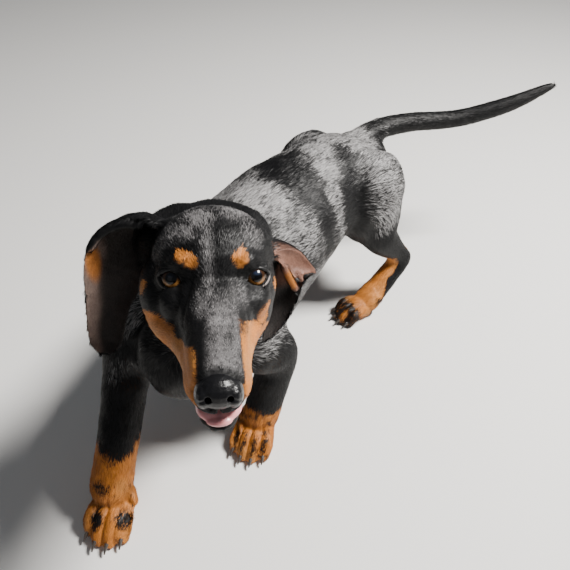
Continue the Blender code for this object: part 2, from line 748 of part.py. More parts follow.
def finish(obj, colour, roughness):
    """Smooth shading, and a plain finish of its own."""
    obj.data.shade_smooth()
    skin = bpy.data.materials.new(obj.name)
    skin.use_nodes = True
    shader = skin.node_tree.nodes["Principled BSDF"]
    shader.inputs["Base Color"].default_value = (*colour, 1)
    shader.inputs["Roughness"].default_value = roughness
    shader.inputs["Metallic"].default_value = 0.0
    obj.data.materials.clear()
    obj.data.materials.append(skin)


# Where the body is parted: name, a point of the cut, the way into the part, box half width,
# half depth and length
CUTS = (
    ("tail", (0.007, 0.2415, 0.199), (0.16, 0.95, 0.26), (0.14, 0.14, 0.30)),
    ("forepaw_left", (0.085, -0.071, 0.043), (0.05, -0.25, -1.0), (0.040, 0.060, 0.08)),
    ("forepaw_right", (0.026, -0.214, 0.044), (0.10, -0.35, -1.0), (0.040, 0.070, 0.08)),
    ("hindpaw_left", (0.0745, 0.162, 0.029), (-0.32, -0.80, -0.50), (0.040, 0.040, 0.09)),
    ("hindpaw_right", (-0.0645, 0.189, 0.028), (0.02, -0.55, -0.85), (0.034, 0.034, 0.09)),
    ("foreleg_left", (0.073, -0.060, 0.103), (0.62, 0.0, -0.78), (0.060, 0.060, 0.16)),
    ("foreleg_right", (0.000, -0.165, 0.108), (0.22, -0.62, -0.75), (0.045, 0.045, 0.16)),
    ("hindleg_left", (0.032, 0.165, 0.106), (0.72, 0.0, -0.69), (0.066, 0.10, 0.20)),
    ("hindleg_right", (-0.032, 0.165, 0.106), (-0.72, 0.0, -0.69), (0.066, 0.10, 0.20)),
)
FLESH_COLOURS = {
    "head": (0.035, 0.034, 0.036),
    "lower_jaw": (0.040, 0.036, 0.034),
    "neck": (0.030, 0.030, 0.032),
    "torso": (0.060, 0.060, 0.063),
    "tail": (0.016, 0.015, 0.016),
    "ear": (0.060, 0.048, 0.044),
    "foreleg": (0.035, 0.032, 0.032),
    "hindleg": (0.050, 0.046, 0.045),
    "forepaw": (0.42, 0.20, 0.075),
    "hindpaw": (0.36, 0.17, 0.065),
    "eye": (0.030, 0.016, 0.008),
    "nose": (0.014, 0.014, 0.015),
    "tongue": (0.62, 0.25, 0.27),
}
GLOSS = {"eye": 0.08, "nose": 0.30, "tongue": 0.38}

clear_scene()
flesh = whole_flesh()
combine(flesh, [add_mesh("wedge", [in_head(mouth_wedge())])], "DIFFERENCE")
for side in (1, -1):
    socket = lump((side * EYE_X, EYE_Y, EYE_Z), (EYE_R + GAP,) * 3)
    opened = [add_mesh("open", [in_head(f)]) for f in (eye_opening(side), socket)]
    combine(flesh, opened, "DIFFERENCE")

nodes = {}
nodes["nose"], seat = make_nose()
combine(flesh, [seat], "DIFFERENCE", "MANIFOLD")
folds = [ear_form(EAR_FLAP, across=5)] + [fold(*lobe) for lobe in EAR_LOBES]
nodes["ear_left"] = make_ear("ear_left", EAR_LEFT, folds, flesh)
nodes["ear_right"] = make_ear("ear_right", EAR_RIGHT, [fold(*EAR_ROLL)], flesh)
for name, side in (("eye_left", 1), ("eye_right", -1)):
    ball = lump((side * EYE_X, EYE_Y, EYE_Z), (EYE_R,) * 3, rings=10, segments=18)
    nodes[name] = add_mesh(name, [in_head(ball)])
nodes["tongue"] = add_mesh("tongue", [in_head(tube(TONGUE, sides=14, steps=2, bends=3))])
combine(nodes["tongue"], [swollen(flesh, 2 * GAP)], "DIFFERENCE", "MANIFOLD")

for name, at, direction, size in CUTS:
    place = facing(at, direction)
    solid = add_mesh("solid", [cell(place, size)])
    wider = add_mesh("wider", [cell(place, size, GAP)])
    nodes[name] = part_off(flesh, name, solid, wider)
for name in PAWS:
    pieces = make_claws(name)
    if name.startswith("forepaw"):
        pieces += dewclaw(name, -1 if name.endswith("left") else 1)
    combine(nodes[name], pieces, "UNION")

jaw = [add_mesh("jaw", [in_head(jaw_region(raised))]) for raised in (-GAP / 2, GAP / 2)]
nodes["lower_jaw"] = part_off(flesh, "lower_jaw", *jaw)
head_at = head_matrix() @ Vector((0, 0.106, -0.030))
head_way = head_matrix().to_3x3() @ Vector((0, -0.88, 0.47))
place = facing(head_at, head_way)
pair = [add_mesh("solid", [cell(place, (0.09, 0.14, 0.26), grow)]) for grow in (0.0, GAP)]
nodes["head"] = part_off(flesh, "head", *pair)
place = facing((0.040, -0.082, 0.212), (0.40, -0.42, 0.82))
pair = [add_mesh("solid", [cell(place, (0.09, 0.09, 0.12), grow)]) for grow in (0.0, GAP)]
nodes["neck"] = part_off(flesh, "neck", *pair)
flesh.name = "torso"
nodes["torso"] = flesh

for name, obj in nodes.items():
    kind = name.replace("_left", "").replace("_right", "")
    finish(obj, FLESH_COLOURS[kind], GLOSS.get(kind, 0.62))

# The origin lies on the ground, under the middle of the whole box
every = np.vstack([points(obj) for obj in nodes.values()])
low, high = every.min(axis=0), every.max(axis=0)
SHIFT = Vector((-(low[0] + high[0]) / 2, -(low[1] + high[1]) / 2, 0))
for obj in nodes.values():
    obj.data.transform(Matrix.Translation(SHIFT))
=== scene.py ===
"""The looks of the dachshund: one skin, a short coat, eyes, lids, nose, tongue and claws.

Metres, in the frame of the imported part, +Z up. The dog faces -Y and its left side is +X. Every
random draw is seeded, so each run gives the same dog.
"""

import math
from itertools import product

import bpy
import numpy as np
from mathutils import Matrix, Vector
from mathutils.bvhtree import BVHTree


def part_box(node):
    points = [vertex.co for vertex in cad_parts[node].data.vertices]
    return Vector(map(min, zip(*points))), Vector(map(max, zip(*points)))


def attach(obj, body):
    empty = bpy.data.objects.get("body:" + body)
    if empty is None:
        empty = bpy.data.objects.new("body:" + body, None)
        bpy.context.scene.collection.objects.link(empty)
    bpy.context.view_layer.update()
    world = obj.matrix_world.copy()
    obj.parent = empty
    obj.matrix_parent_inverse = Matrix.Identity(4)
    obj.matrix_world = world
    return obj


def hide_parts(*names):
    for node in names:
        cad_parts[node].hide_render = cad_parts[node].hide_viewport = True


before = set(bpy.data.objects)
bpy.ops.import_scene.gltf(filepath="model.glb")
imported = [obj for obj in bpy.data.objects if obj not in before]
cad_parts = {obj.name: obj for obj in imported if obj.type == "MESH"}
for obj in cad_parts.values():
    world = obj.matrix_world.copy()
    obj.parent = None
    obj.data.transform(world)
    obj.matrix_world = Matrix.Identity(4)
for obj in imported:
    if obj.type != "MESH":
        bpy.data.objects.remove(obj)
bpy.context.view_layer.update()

# The head's own frame: its place in the part's draft, before the origin was moved, and its turn
HEAD_DRAFT = np.array([0.1235, -0.160, 0.282])
HEAD_TURN, HEAD_LIFT, HEAD_ROLL = 46.0, 24.0, 3.7
EYE_Y, EYE_Z, EYE_R = 0.004, 0.0002, 0.0096

# Paws, as in the part's source: middle, way of the toes in degrees, size, all in the draft's frame
PAWS = {
    "forepaw_left": ((0.084, -0.082), 20, 0.96),
    "forepaw_right": ((0.037, -0.228), 26, 0.98),
    "hindpaw_left": ((0.065, 0.139), -24, 0.86),
    "hindpaw_right": ((-0.064, 0.172), 4, 0.86),
}
TOES = ((-0.0155, 0.026), (-0.0054, 0.033), (0.0054, 0.033), (0.0155, 0.026))
MOUTH_LINE = ((-0.120, -0.0490), (-0.070, -0.0488), (-0.040, -0.0490), (-0.010, -0.0500))

FLESH = (
    "head lower_jaw neck torso tail ear_left ear_right foreleg_left foreleg_right forepaw_left "
    "forepaw_right hindleg_left hindleg_right hindpaw_left hindpaw_right"
).split()
LABEL = {name: i for i, name in enumerate(FLESH)}

INFLATE = 0.0005
VOXEL = 0.0011
SKIN_TRIANGLES = 240_000


def turn(degrees, axis):
    return np.array(Matrix.Rotation(math.radians(degrees), 3, axis))


def middle(node):
    low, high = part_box(node)
    return np.array((low + high) / 2)


HEAD_AXES = turn(HEAD_TURN, "Z") @ turn(-HEAD_LIFT, "X") @ turn(HEAD_ROLL, "Y")
EYES_AT = (middle("eye_left") + middle("eye_right")) / 2
HEAD_AT = EYES_AT - HEAD_AXES @ np.array([0, EYE_Y, EYE_Z])
SHIFT = HEAD_AT - HEAD_DRAFT


def to_head(points):
    return (points - HEAD_AT) @ HEAD_AXES


def from_head(points):
    return np.asarray(points) @ HEAD_AXES.T + HEAD_AT


def paw_axes(name):
    """The paw's turn, size and middle on the floor."""
    (x, y), way, size = PAWS[name]
    return turn(way, "Z"), size, np.array([x, y, 0]) + SHIFT * (1, 1, 0)


def to_paw(points, name):
    axes, size, at = paw_axes(name)
    return (points - at) @ axes / size


def from_paw(points, name):
    axes, size, at = paw_axes(name)
    return np.asarray(points) * size @ axes.T + at


def unit(vectors):
    return vectors / np.maximum(np.linalg.norm(vectors, axis=-1, keepdims=True), 1e-12)


def ramp(value, low, high):
    """0 at low, 1 at high, smooth between."""
    t = np.clip((value - low) / (high - low), 0, 1)
    return t * t * (3 - 2 * t)


def noise(points, size, seed):
    """Smooth noise from -1 to 1, its lumps about that size."""
    place = points / size + seed * 7.31
    base = np.floor(place).astype(np.int64)
    part = place - base
    part = part * part * (3 - 2 * part)
    out = np.zeros(len(points))
    for corner in product((0, 1), repeat=3):
        cell = base + corner
        mixed = cell[:, 0] * 73856093 ^ cell[:, 1] * 19349663 ^ cell[:, 2] * 83492791 ^ seed * 97531
        mixed = (mixed & 0xFFFFFFFF) * 1274126177 & 0xFFFFFFFF
        mixed = ((mixed ^ (mixed >> 15)) * 2246822519) & 0xFFFFFFFF
        value = ((mixed ^ (mixed >> 13)) & 0xFFFF) / 32767.5 - 1
        out += value * np.where(corner, part, 1 - part).prod(axis=1)
    return out


# Meshes from arrays


def make_mesh(name, verts, faces, smooth=True):
    mesh = bpy.data.meshes.new(name)
    mesh.vertices.add(len(verts))
    mesh.vertices.foreach_set("co", np.asarray(verts, np.float32).ravel())
    count, sides = faces.shape
    mesh.loops.add(count * sides)
    mesh.loops.foreach_set("vertex_index", faces.astype(np.int32).ravel())
    mesh.polygons.add(count)
    mesh.polygons.foreach_set("loop_start", np.arange(0, count * sides, sides, dtype=np.int32))
    mesh.update(calc_edges=True)
    mesh.polygons.foreach_set("use_smooth", np.full(count, smooth))
    return mesh


def add_object(name, mesh):
    obj = bpy.data.objects.new(name, mesh)
    bpy.context.scene.collection.objects.link(obj)
    return obj


def read_mesh(mesh):
    """Vertices and triangles of a mesh."""
    verts = np.empty(len(mesh.vertices) * 3, np.float32)
    mesh.vertices.foreach_get("co", verts)
    mesh.calc_loop_triangles()
    tris = np.empty(len(mesh.loop_triangles) * 3, np.int32)
    mesh.loop_triangles.foreach_get("vertices", tris)
    return verts.reshape(-1, 3).astype(float), tris.reshape(-1, 3).astype(np.int64)


def welded(verts, tris):
    """Vertices that lie on one another made one."""
    keys = np.round(verts * 1e6).astype(np.int64)
    _, first, where = np.unique(keys, axis=0, return_index=True, return_inverse=True)
    tris = where.reshape(-1)[tris]
    good = (tris[:, 0] != tris[:, 1]) & (tris[:, 1] != tris[:, 2]) & (tris[:, 2] != tris[:, 0])
    return verts[first], tris[good]


def vertex_normals(verts, tris):
    across = np.cross(verts[tris[:, 1]] - verts[tris[:, 0]], verts[tris[:, 2]] - verts[tris[:, 0]])
    out = np.zeros_like(verts)
    for axis in range(3):
        for corner in range(3):
            out[:, axis] += np.bincount(tris[:, corner], across[:, axis], len(verts))
    return unit(out)


def neighbours(tris):
    pairs = np.vstack([tris[:, (0, 1)], tris[:, (1, 2)], tris[:, (2, 0)]])
    pairs.sort(axis=1)
    return np.unique(pairs[:, 0] << 32 | pairs[:, 1])


def averaged(values, pairs, count):
    """The mean of each vertex's neighbours."""
    a, b = pairs >> 32, pairs & 0xFFFFFFFF
    degree = np.maximum(np.bincount(a, minlength=count) + np.bincount(b, minlength=count), 1)
    out = np.empty_like(values)
    for axis in range(values.shape[1]):
        total = np.bincount(a, values[b, axis], count) + np.bincount(b, values[a, axis], count)
        out[:, axis] = total / degree
    return out


def relaxed(verts, pairs, rounds, weight):
    """Smooths the surface with almost no shrinking."""
    for _ in range(rounds):
        for step in (0.5, -0.51):
            verts = verts + step * weight[:, None] * (averaged(verts, pairs, len(verts)) - verts)
    return verts


def eased(verts, tris, pairs, rounds, weight):
    """Rounds off broad facets, with the shape's own bulk kept."""
    soft = verts
    for _ in range(rounds):
        soft = averaged(soft, pairs, len(verts))
    normals = vertex_normals(soft, tris)
    gap = ((verts - soft) * normals).sum(axis=1)[:, None]
    for _ in range(rounds):
        gap = averaged(gap, pairs, len(verts))
    return verts + weight[:, None] * (soft + normals * gap - verts)


def evaluated(obj):
    graph = bpy.context.evaluated_depsgraph_get()
    mesh = bpy.data.meshes.new_from_object(obj.evaluated_get(graph))
    out = read_mesh(mesh)
    bpy.data.meshes.remove(mesh)
    return out


def discard(obj):
    mesh = obj.data
    bpy.data.objects.remove(obj)
    bpy.data.meshes.remove(mesh)


def voxel_fused(verts, tris, voxel):
    obj = add_object("fuse", make_mesh("fuse", verts, tris))
    step = obj.modifiers.new("fuse", "REMESH")
    step.mode = "VOXEL"
    step.voxel_size = voxel
    out = evaluated(obj)
    discard(obj)
    return out


def thinned(verts, tris, target, detail):
    """Fewer triangles, with more of them kept where detail is near 1."""
    obj = add_object("thin", make_mesh("thin", verts, tris))
    group = obj.vertex_groups.new(name="detail")
    for i, weight in enumerate(detail.tolist()):
        group.add((i,), weight, "REPLACE")
    step = obj.modifiers.new("thin", "DECIMATE")
    step.ratio = target / len(tris)
    step.vertex_group = "detail"
    step.invert_vertex_group = True
    step.vertex_group_factor = 1.0
    out = evaluated(obj)
    discard(obj)
    return out


def tree_of(verts, tris):
    return BVHTree.FromPolygons(verts.tolist(), tris.tolist())


def spline(rows, steps):
    """Rows of numbers, smoothed through every row, with that many steps to each span."""
    rows = np.array(rows, float)
    ends = np.vstack([2 * rows[0] - rows[1], rows, 2 * rows[-1] - rows[-2]])
    out = []
    for i in range(1, len(rows)):
        a, b, c, d = ends[i - 1 : i + 3]
        for t in np.arange(steps) / steps:
            turned = 2 * b + (c - a) * t + (2 * a - 5 * b + 4 * c - d) * t**2
            out.append(0.5 * (turned + (3 * b - 3 * c + d - a) * t**3))
    out.append(rows[-1])
    return np.array(out)


def rings_to_tris(rings, sides, closed_ends=True):
    """Triangles over rings of like vertices, one after the other."""
    i, k = np.meshgrid(np.arange(rings - 1), np.arange(sides), indexing="ij")
    n = (k + 1) % sides
    a, b, c, d = i * sides + k, i * sides + n, (i + 1) * sides + n, (i + 1) * sides + k
    tris = [np.stack([a, b, c], -1).reshape(-1, 3), np.stack([a, c, d], -1).reshape(-1, 3)]
    if closed_ends:
        fan = np.arange(1, sides - 1)
        zero = np.zeros_like(fan)
        last = (rings - 1) * sides
        tris.append(np.stack([zero, fan + 1, fan], -1))
        tris.append(np.stack([zero, fan, fan + 1], -1) + last)
    return np.vstack(tris)


# The skin


def without_claws(verts, name):
    """Draws the claws back into the ends of the toes, as they are pieces of their own."""
    q = to_paw(verts, name)
    for side, reach in TOES:
        limit = -reach - 0.0048
        on_claw = (abs(q[:, 0] - side * 1.08) < 0.0046) & (q[:, 1] < limit)
        q[on_claw, 1] = limit
        q[on_claw, 0] = side * 1.06 + (q[on_claw, 0] - side * 1.06) * 0.7
        q[on_claw, 2] = 0.005 + (q[on_claw, 2] - 0.005) * 0.7
    if name.startswith("forepaw"):
        inward = -1 if name.endswith("left") else 1
        on_claw = (q[:, 0] * inward > 0.0165) & (q[:, 1] < -0.0030) & (q[:, 2] > 0.014)
        on_claw &= abs(q[:, 0] * inward - 0.0192) < 0.0032
        q[on_claw, 1] = -0.0030
        q[on_claw, 2] = 0.0245
    return from_paw(q, name)


def joined_flesh():
    verts, tris, labels, base = [], [], [], 0
    for name in FLESH:
        v, t = welded(*read_mesh(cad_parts[name].data))
        if name in PAWS:
            v = without_claws(v, name)
        verts.append(v + vertex_normals(v, t) * INFLATE)
        tris.append(t + base)
        labels.append(np.full(len(t), LABEL[name]))
        base += len(v)
    return np.vstack(verts), np.vstack(tris), np.concatenate(labels)


def nearest_label(points, tree, labels):
    """Which node each point lies on."""
    return labels[[tree.find_nearest(p)[2] for p in points.tolist()]]


def is_one_of(labels, *kinds):
    wanted = [LABEL[name] for name in FLESH if name.startswith(kinds)]
    return np.isin(labels, wanted)


def mouth_height(y):
    line = np.array(MOUTH_LINE)
    return np.interp(y, line[:, 0], line[:, 1])


# The opening of the left eye's lids, from its inner corner round over the top, across the gaze:
# how far out to the side and up, in millimetres
LID_OPENING = np.array(
    [(-7.1, -5.6), (-6.8, -2.1), (-5.8, 1.2), (-4.1, 3.5), (-1.7, 4.9), (0.7, 5.3), (3.4, 4.6),
     (6.2, 3.1), (8.3, 0.9), (7.3, -1.9), (5.2, -4.2), (2.3, -5.8), (-0.4, -6.4), (-3.5, -6.4)]
)
# The way that the lids face, and the way that the eyes look, out to the side and up in degrees
LIDS_FACE = (12.0, 8.0)
EYES_LOOK = (8.0, 12.0)


def eye_axes(side, facing=LIDS_FACE):
    """The eye's centre, and its own axes as columns: out to the side, up, and along the gaze."""
    out, up = (math.radians(angle) for angle in facing)
    gaze = unit(np.array([side * math.sin(out), -math.cos(out), math.sin(up)]))
    across = unit(np.cross(gaze, (0, 0, 1))) * side
    across = across if across[0] * side > 0 else -across
    upward = unit(np.cross(across, gaze))
    upward = upward if upward[2] > 0 else -upward
    centre = middle("eye_left" if side > 0 else "eye_right")
    return centre, HEAD_AXES @ np.column_stack([across, upward, gaze])


def lid_outline(count):
    closed = np.vstack([LID_OPENING[-1:], LID_OPENING, LID_OPENING[:2]]) / 1000
    fine = spline(closed, 24)[24:-24]
    length = np.concatenate([[0], np.cumsum(np.linalg.norm(np.diff(fine, axis=0), axis=1))])
    at = np.linspace(0, length[-1], count, endpoint=False)
    return np.column_stack([np.interp(at, length, fine[:, k]) for k in range(2)])


def off_outline(uv):
    """Distance from the edge of the lids' opening, below 0 within it."""
    edge = lid_outline(72)
    after = np.roll(edge, -1, axis=0)
    span = after - edge
    t = ((uv[:, None] - edge) * span).sum(-1) / (span**2).sum(-1)
    near = edge + np.clip(t, 0, 1)[..., None] * span
    distance = np.linalg.norm(uv[:, None] - near, axis=-1).min(axis=1)
    crossed = (edge[:, 1] > uv[:, 1:2]) != (after[:, 1] > uv[:, 1:2])
    with np.errstate(divide="ignore", invalid="ignore"):
        at = edge[:, 0] + (uv[:, 1:2] - edge[:, 1]) / (after[:, 1] - edge[:, 1]) * span[:, 0]
    within = (crossed & (uv[:, 0:1] < at)).sum(axis=1) % 2 == 1
    return np.where(within, -distance, distance)


def shape_lids(verts):
    """Draws the skin round each eye down to the ball, as lids are."""
    for side in (1, -1):
        centre, axes = eye_axes(side)
        q = (verts - centre) @ axes
        near = np.flatnonzero((np.linalg.norm(q[:, :2], axis=1) < 0.020) & (q[:, 2] > 0.001)
                              & (np.linalg.norm(q, axis=1) < 0.024))
        part = q[near]
        off = off_outline(part[:, :2])
        radius = np.linalg.norm(part, axis=1)
        lid = EYE_R + 0.0011 + 0.0006 * ramp(off, 0.001, 0.003)
        wanted = np.where(off > 0, lid + (radius - lid) * ramp(off, 0.0015, 0.0075), EYE_R - 0.002)
        wanted = np.minimum(wanted, np.where(off > 0, radius, EYE_R - 0.002))
        verts[near] = centre + (part * (wanted / radius)[:, None]) @ axes.T
    return verts


def carve(verts, normals, labels):
    """Moves the skin in and out for the line of the mouth, the folds, the toes and the muscles."""
    h = to_head(verts)
    push = np.zeros(len(verts))
    face = is_one_of(labels, "head", "lower_jaw")
    off = h[:, 2] - mouth_height(h[:, 1])
    along = ramp(-h[:, 1], 0.004, 0.030) * face
    push -= 0.0018 * np.exp(-((off / 0.0013) ** 2)) * along
    push += 0.0007 * np.exp(-(((off - 0.0040) / 0.0022) ** 2)) * along
    push += 0.0005 * np.exp(-(((off + 0.0038) / 0.0020) ** 2)) * along
    groove = np.exp(-((h[:, 0] / 0.0010) ** 2)) * ramp(-h[:, 1], 0.088, 0.094) * (h[:, 2] < -0.036)
    push -= 0.0011 * groove * face
    # The furrow between the eyes, and the fold that runs down from each inner corner
    push -= 0.0009 * np.exp(-((h[:, 0] / 0.0035) ** 2)) * ramp(h[:, 1], -0.030, -0.005) * (
        ramp(-h[:, 1], -0.030, -0.005)) * (h[:, 2] > 0) * face
    for side in (1, -1):
        fold = side * h[:, 0] - 0.0165 + (h[:, 1] + 0.020) * 0.28
        reach = ramp(h[:, 1], -0.050, -0.030) * ramp(-h[:, 1], 0.004, 0.012) * (h[:, 2] > -0.02)
        push -= 0.0007 * np.exp(-((fold / 0.0018) ** 2)) * reach * (side * h[:, 0] > 0) * face
    for name in PAWS:
        q = to_paw(verts, name)
        on_paw = labels == LABEL[name]
        for between in (-0.0107, 0.0, 0.0107):
            reach = ramp(-q[:, 1], 0.004, 0.014) * ramp(q[:, 1], -0.040, -0.036)
            above = ramp(q[:, 2], 0.002, 0.006)
            push -= 0.0015 * np.exp(-(((q[:, 0] - between) / 0.0013) ** 2)) * reach * above * on_paw
        knuckle = np.exp(-(((q[:, 1] + 0.020) / 0.004) ** 2))
        push += 0.0006 * knuckle * on_paw * ramp(q[:, 2], 0.010, 0.016)
    p = verts - SHIFT
    body = is_one_of(labels, "torso", "hindleg", "foreleg", "neck")
    push += body * (0.0010 * noise(p * (1, 0.6, 1), 0.034, 3) + 0.0004 * noise(p, 0.014, 4))
    # The right ear's inner margin is drawn to the cheek, so that no slit shows between them
    margin = blob(p, (0.049, -0.164, 0.245), (0.014, 0.014, 0.022), 0.5) * is_one_of(labels, "ear_right")
    to_cheek = np.array([0.79, 0.61, 0.0])
    return verts + normals * push[:, None] + 0.0020 * margin[:, None] * to_cheek


NOSE_MIDDLE = np.array([0.0, -0.0945, -0.0335])


NOSE_TREE = tree_of(*welded(*read_mesh(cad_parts["nose"].data)))


def by_nose(points):
    return np.flatnonzero(np.linalg.norm(to_head(points) - NOSE_MIDDLE, axis=1) < 0.024).tolist()


def off_nose(points):
    """Distance from the nose, or a large one."""
    out = np.full(len(points), 1.0)
    for i in by_nose(points):
        out[i] = NOSE_TREE.find_nearest(Vector(points[i]))[3]
    return out


def met_nose(verts):
    """Draws the skin in to the nose, so that no gap shows round it."""
    for i in by_nose(verts):
        place = Vector(verts[i])
        spot, facing, _, far = NOSE_TREE.find_nearest(place)
        if (place - spot).dot(facing) > 0 and far < 0.0022:
            pull = 1 - float(ramp(np.array(far), 0.0009, 0.0022))
            verts[i] += pull * (np.array(spot - facing * 0.0004) - verts[i])
    return verts


def coat_depth(verts, labels):
    """How far the skin lies inside the solids."""
    h = to_head(verts)
    depth = np.full(len(verts), 0.0011)
    depth[is_one_of(labels, "head", "lower_jaw")] = 0.0008
    depth[is_one_of(labels, "foreleg", "forepaw", "hindpaw")] = 0.0007
    depth[is_one_of(labels, "ear")] = 0.00035
    muzzle = is_one_of(labels, "head", "lower_jaw") & (h[:, 1] < -0.045)
    depth[muzzle] = 0.0004
    return depth


def make_skin():
    flesh_verts, flesh_tris, flesh_labels = joined_flesh()
    tree = tree_of(flesh_verts, flesh_tris)
    verts, tris = voxel_fused(flesh_verts, flesh_tris, VOXEL)
    labels = nearest_label(verts, tree, flesh_labels)
    h = to_head(verts)
    pairs = neighbours(tris)
    fine = is_one_of(labels, "head", "lower_jaw", "forepaw", "hindpaw", "ear")
    fine &= (h[:, 1] < 0.04) | ~is_one_of(labels, "head")
    weight = averaged(np.where(fine, 0.0, 1.0)[:, None], pairs, len(verts))[:, 0]
    for _ in range(6):
        weight = averaged(weight[:, None], pairs, len(verts))[:, 0]
    verts = relaxed(verts, pairs, 7, np.ones(len(verts)))
    verts = relaxed(verts, pairs, 12, weight)
    verts = eased(verts, tris, pairs, 60, weight)
    depth = averaged(coat_depth(verts, labels)[:, None], pairs, len(verts))
    for _ in range(8):
        depth = averaged(depth, pairs, len(verts))
    normals = vertex_normals(verts, tris)
    verts = verts - normals * (depth + INFLATE)
    verts = carve(verts, vertex_normals(verts, tris), labels)
    verts = shape_lids(verts)
    detail = np.where(fine, 0.75, 0.25)
    detail = np.where(is_one_of(labels, "tail", "foreleg", "hindleg"), 0.35, detail)
    detail = np.where(fine & (np.linalg.norm(h, axis=1) < 0.075), 1.0, detail)
    verts, tris = thinned(met_nose(verts), tris, SKIN_TRIANGLES, detail)
    return met_nose(verts), tris, nearest_label(verts, tree, flesh_labels)


# Markings

BLACK = np.array([0.0024, 0.0024, 0.0029])
SILVER = np.array([0.31, 0.305, 0.305])
GREY = np.array([0.185, 0.178, 0.180])
TAN = np.array([0.47, 0.165, 0.028])
PALE_TAN = np.array([0.56, 0.27, 0.080])
DULL_TAN = np.array([0.27, 0.105, 0.034])
INNER_EAR = np.array([0.175, 0.125, 0.105])
EAR_LEATHER = np.array([0.042, 0.037, 0.035])
EAR_SHADE_AND_DARK_HAIR = np.array([0.012, 0.010, 0.0095])
FLAP = np.array([0.24, 0.120, 0.085])
LIP = np.array([0.005, 0.0045, 0.005])


def blob(points, centre, radii, soft=0.25):
    """1 within an ellipsoid, falling to 0 over its soft edge."""
    far = np.linalg.norm((points - centre) / radii, axis=1)
    return 1 - ramp(far, 1 - soft, 1 + soft)


# Where the tan of the muzzle begins on each side of the head: how far forward and how high
TAN_LEFT = ((-0.110, -0.0450), (-0.0906, -0.0340), (-0.0894, -0.0277), (-0.0810, -0.0228),
            (-0.0684, -0.0193), (-0.0542, -0.0158), (-0.0432, -0.0124), (-0.0389, -0.0158),
            (-0.0250, -0.0214), (-0.0134, -0.0242), (-0.0050, -0.0300), (0.020, -0.036),
            (0.045, -0.046), (0.070, -0.060))
TAN_RIGHT = ((-0.110, -0.0400), (-0.0937, -0.0272), (-0.0871, -0.0225), (-0.0783, -0.0206),
             (-0.0682, -0.0200), (-0.0514, -0.0246), (-0.0297, -0.0283), (-0.0151, -0.0257),
             (-0.0011, -0.0235), (0.0014, -0.0208), (0.0126, -0.0221), (0.030, -0.030),
             (0.050, -0.044), (0.070, -0.060))
# The spots over the eyes and on the cheeks, in the head's frame: centre and reach
TAN_SPOTS = (
    ((-0.0178, -0.0062, 0.0164), (0.0066, 0.0120, 0.0030)),
    ((-0.0140, -0.0090, 0.0135), (0.0042, 0.0120, 0.0050)),
    ((0.0158, -0.0075, 0.0142), (0.0054, 0.0120, 0.0040)),
    ((0.0162, -0.0060, 0.0142), (0.0034, 0.0120, 0.0058)),
    ((-0.0465, 0.0110, -0.0075), (0.0050, 0.0062, 0.0046)),
    ((0.0410, 0.0165, -0.0085), (0.0050, 0.0048, 0.0046)),
    ((0.0320, -0.0040, -0.0225), (0.0068, 0.0125, 0.0082)),
)


def tan_share(p, h, labels):
    """How much of the coat is tan."""
    warp = 0.0010 * noise(p, 0.005, 11) + 0.0005 * noise(p, 0.002, 14)
    head = is_one_of(labels, "head", "lower_jaw", "neck")
    left, right = (np.interp(h[:, 1], *np.array(line).T) for line in (TAN_LEFT, TAN_RIGHT))
    below = np.where(h[:, 0] > 0, left, right) - h[:, 2] + warp
    share = ramp(below, -0.0012, 0.0018) * ramp(0.055 - h[:, 1], -0.008, 0.008)
    inner_edge = np.where(h[:, 0] > 0, 0.0126, 0.0106)
    share *= np.maximum(ramp(abs(h[:, 0]) - inner_edge, -0.0004, 0.0014), h[:, 2] < -0.0605)
    jaw = is_one_of(labels, "lower_jaw")
    share *= 1 - jaw * ramp(h[:, 2], -0.0612, -0.0596)
    smudge = blob(h, (0.0160, -0.042, -0.0168), (0.0056, 0.0150, 0.0056), 0.6)
    share *= 1 - 0.85 * smudge * ramp(noise(h, 0.004, 15), -1.1, 0.2)
    for centre, radii in TAN_SPOTS:
        share = np.maximum(share, blob(h + warp[:, None], centre, radii, 0.22))
    share = np.clip(share, 0, 1) * head
    chest = np.maximum(blob(p, (0.019, -0.165, 0.121), (0.015, 0.018, 0.012), 0.5),
                       blob(p, (0.1036, -0.083, 0.115), (0.012, 0.016, 0.011), 0.5))
    share = np.maximum(share, 0.10 * chest)
    wave = 0.006 * noise(p, 0.012, 12) + 0.003 * noise(p, 0.004, 13)
    right = is_one_of(labels, "foreleg_right", "forepaw_right")
    left = is_one_of(labels, "foreleg_left", "forepaw_left")
    share = np.maximum(share, right * ramp(0.070 - p[:, 2] + wave, -0.004, 0.006))
    share = np.maximum(share, left * ramp(0.048 - p[:, 2] + wave, -0.004, 0.006))
    for side, outer, back in ((1, 0.0862, 0.192), (-1, 0.0852, 0.225)):
        hind = is_one_of(labels, "hindleg_left" if side > 0 else "hindleg_right",
                         "hindpaw_left" if side > 0 else "hindpaw_right")
        shank = ramp(outer - p[:, 0] * side + wave * 0.4, -0.002, 0.003)
        shank *= ramp(back - (0.062 - p[:, 2]) * 0.85 - p[:, 1] + wave, -0.003, 0.003)
        share = np.maximum(share, hind * shank * ramp(0.079 - p[:, 2] + wave, -0.003, 0.005))
    vent = 0.8 * blob(p, (0.002, 0.246, 0.174), (0.010, 0.018, 0.014), 0.5)
    return np.clip(np.maximum(share, vent), 0, 1)


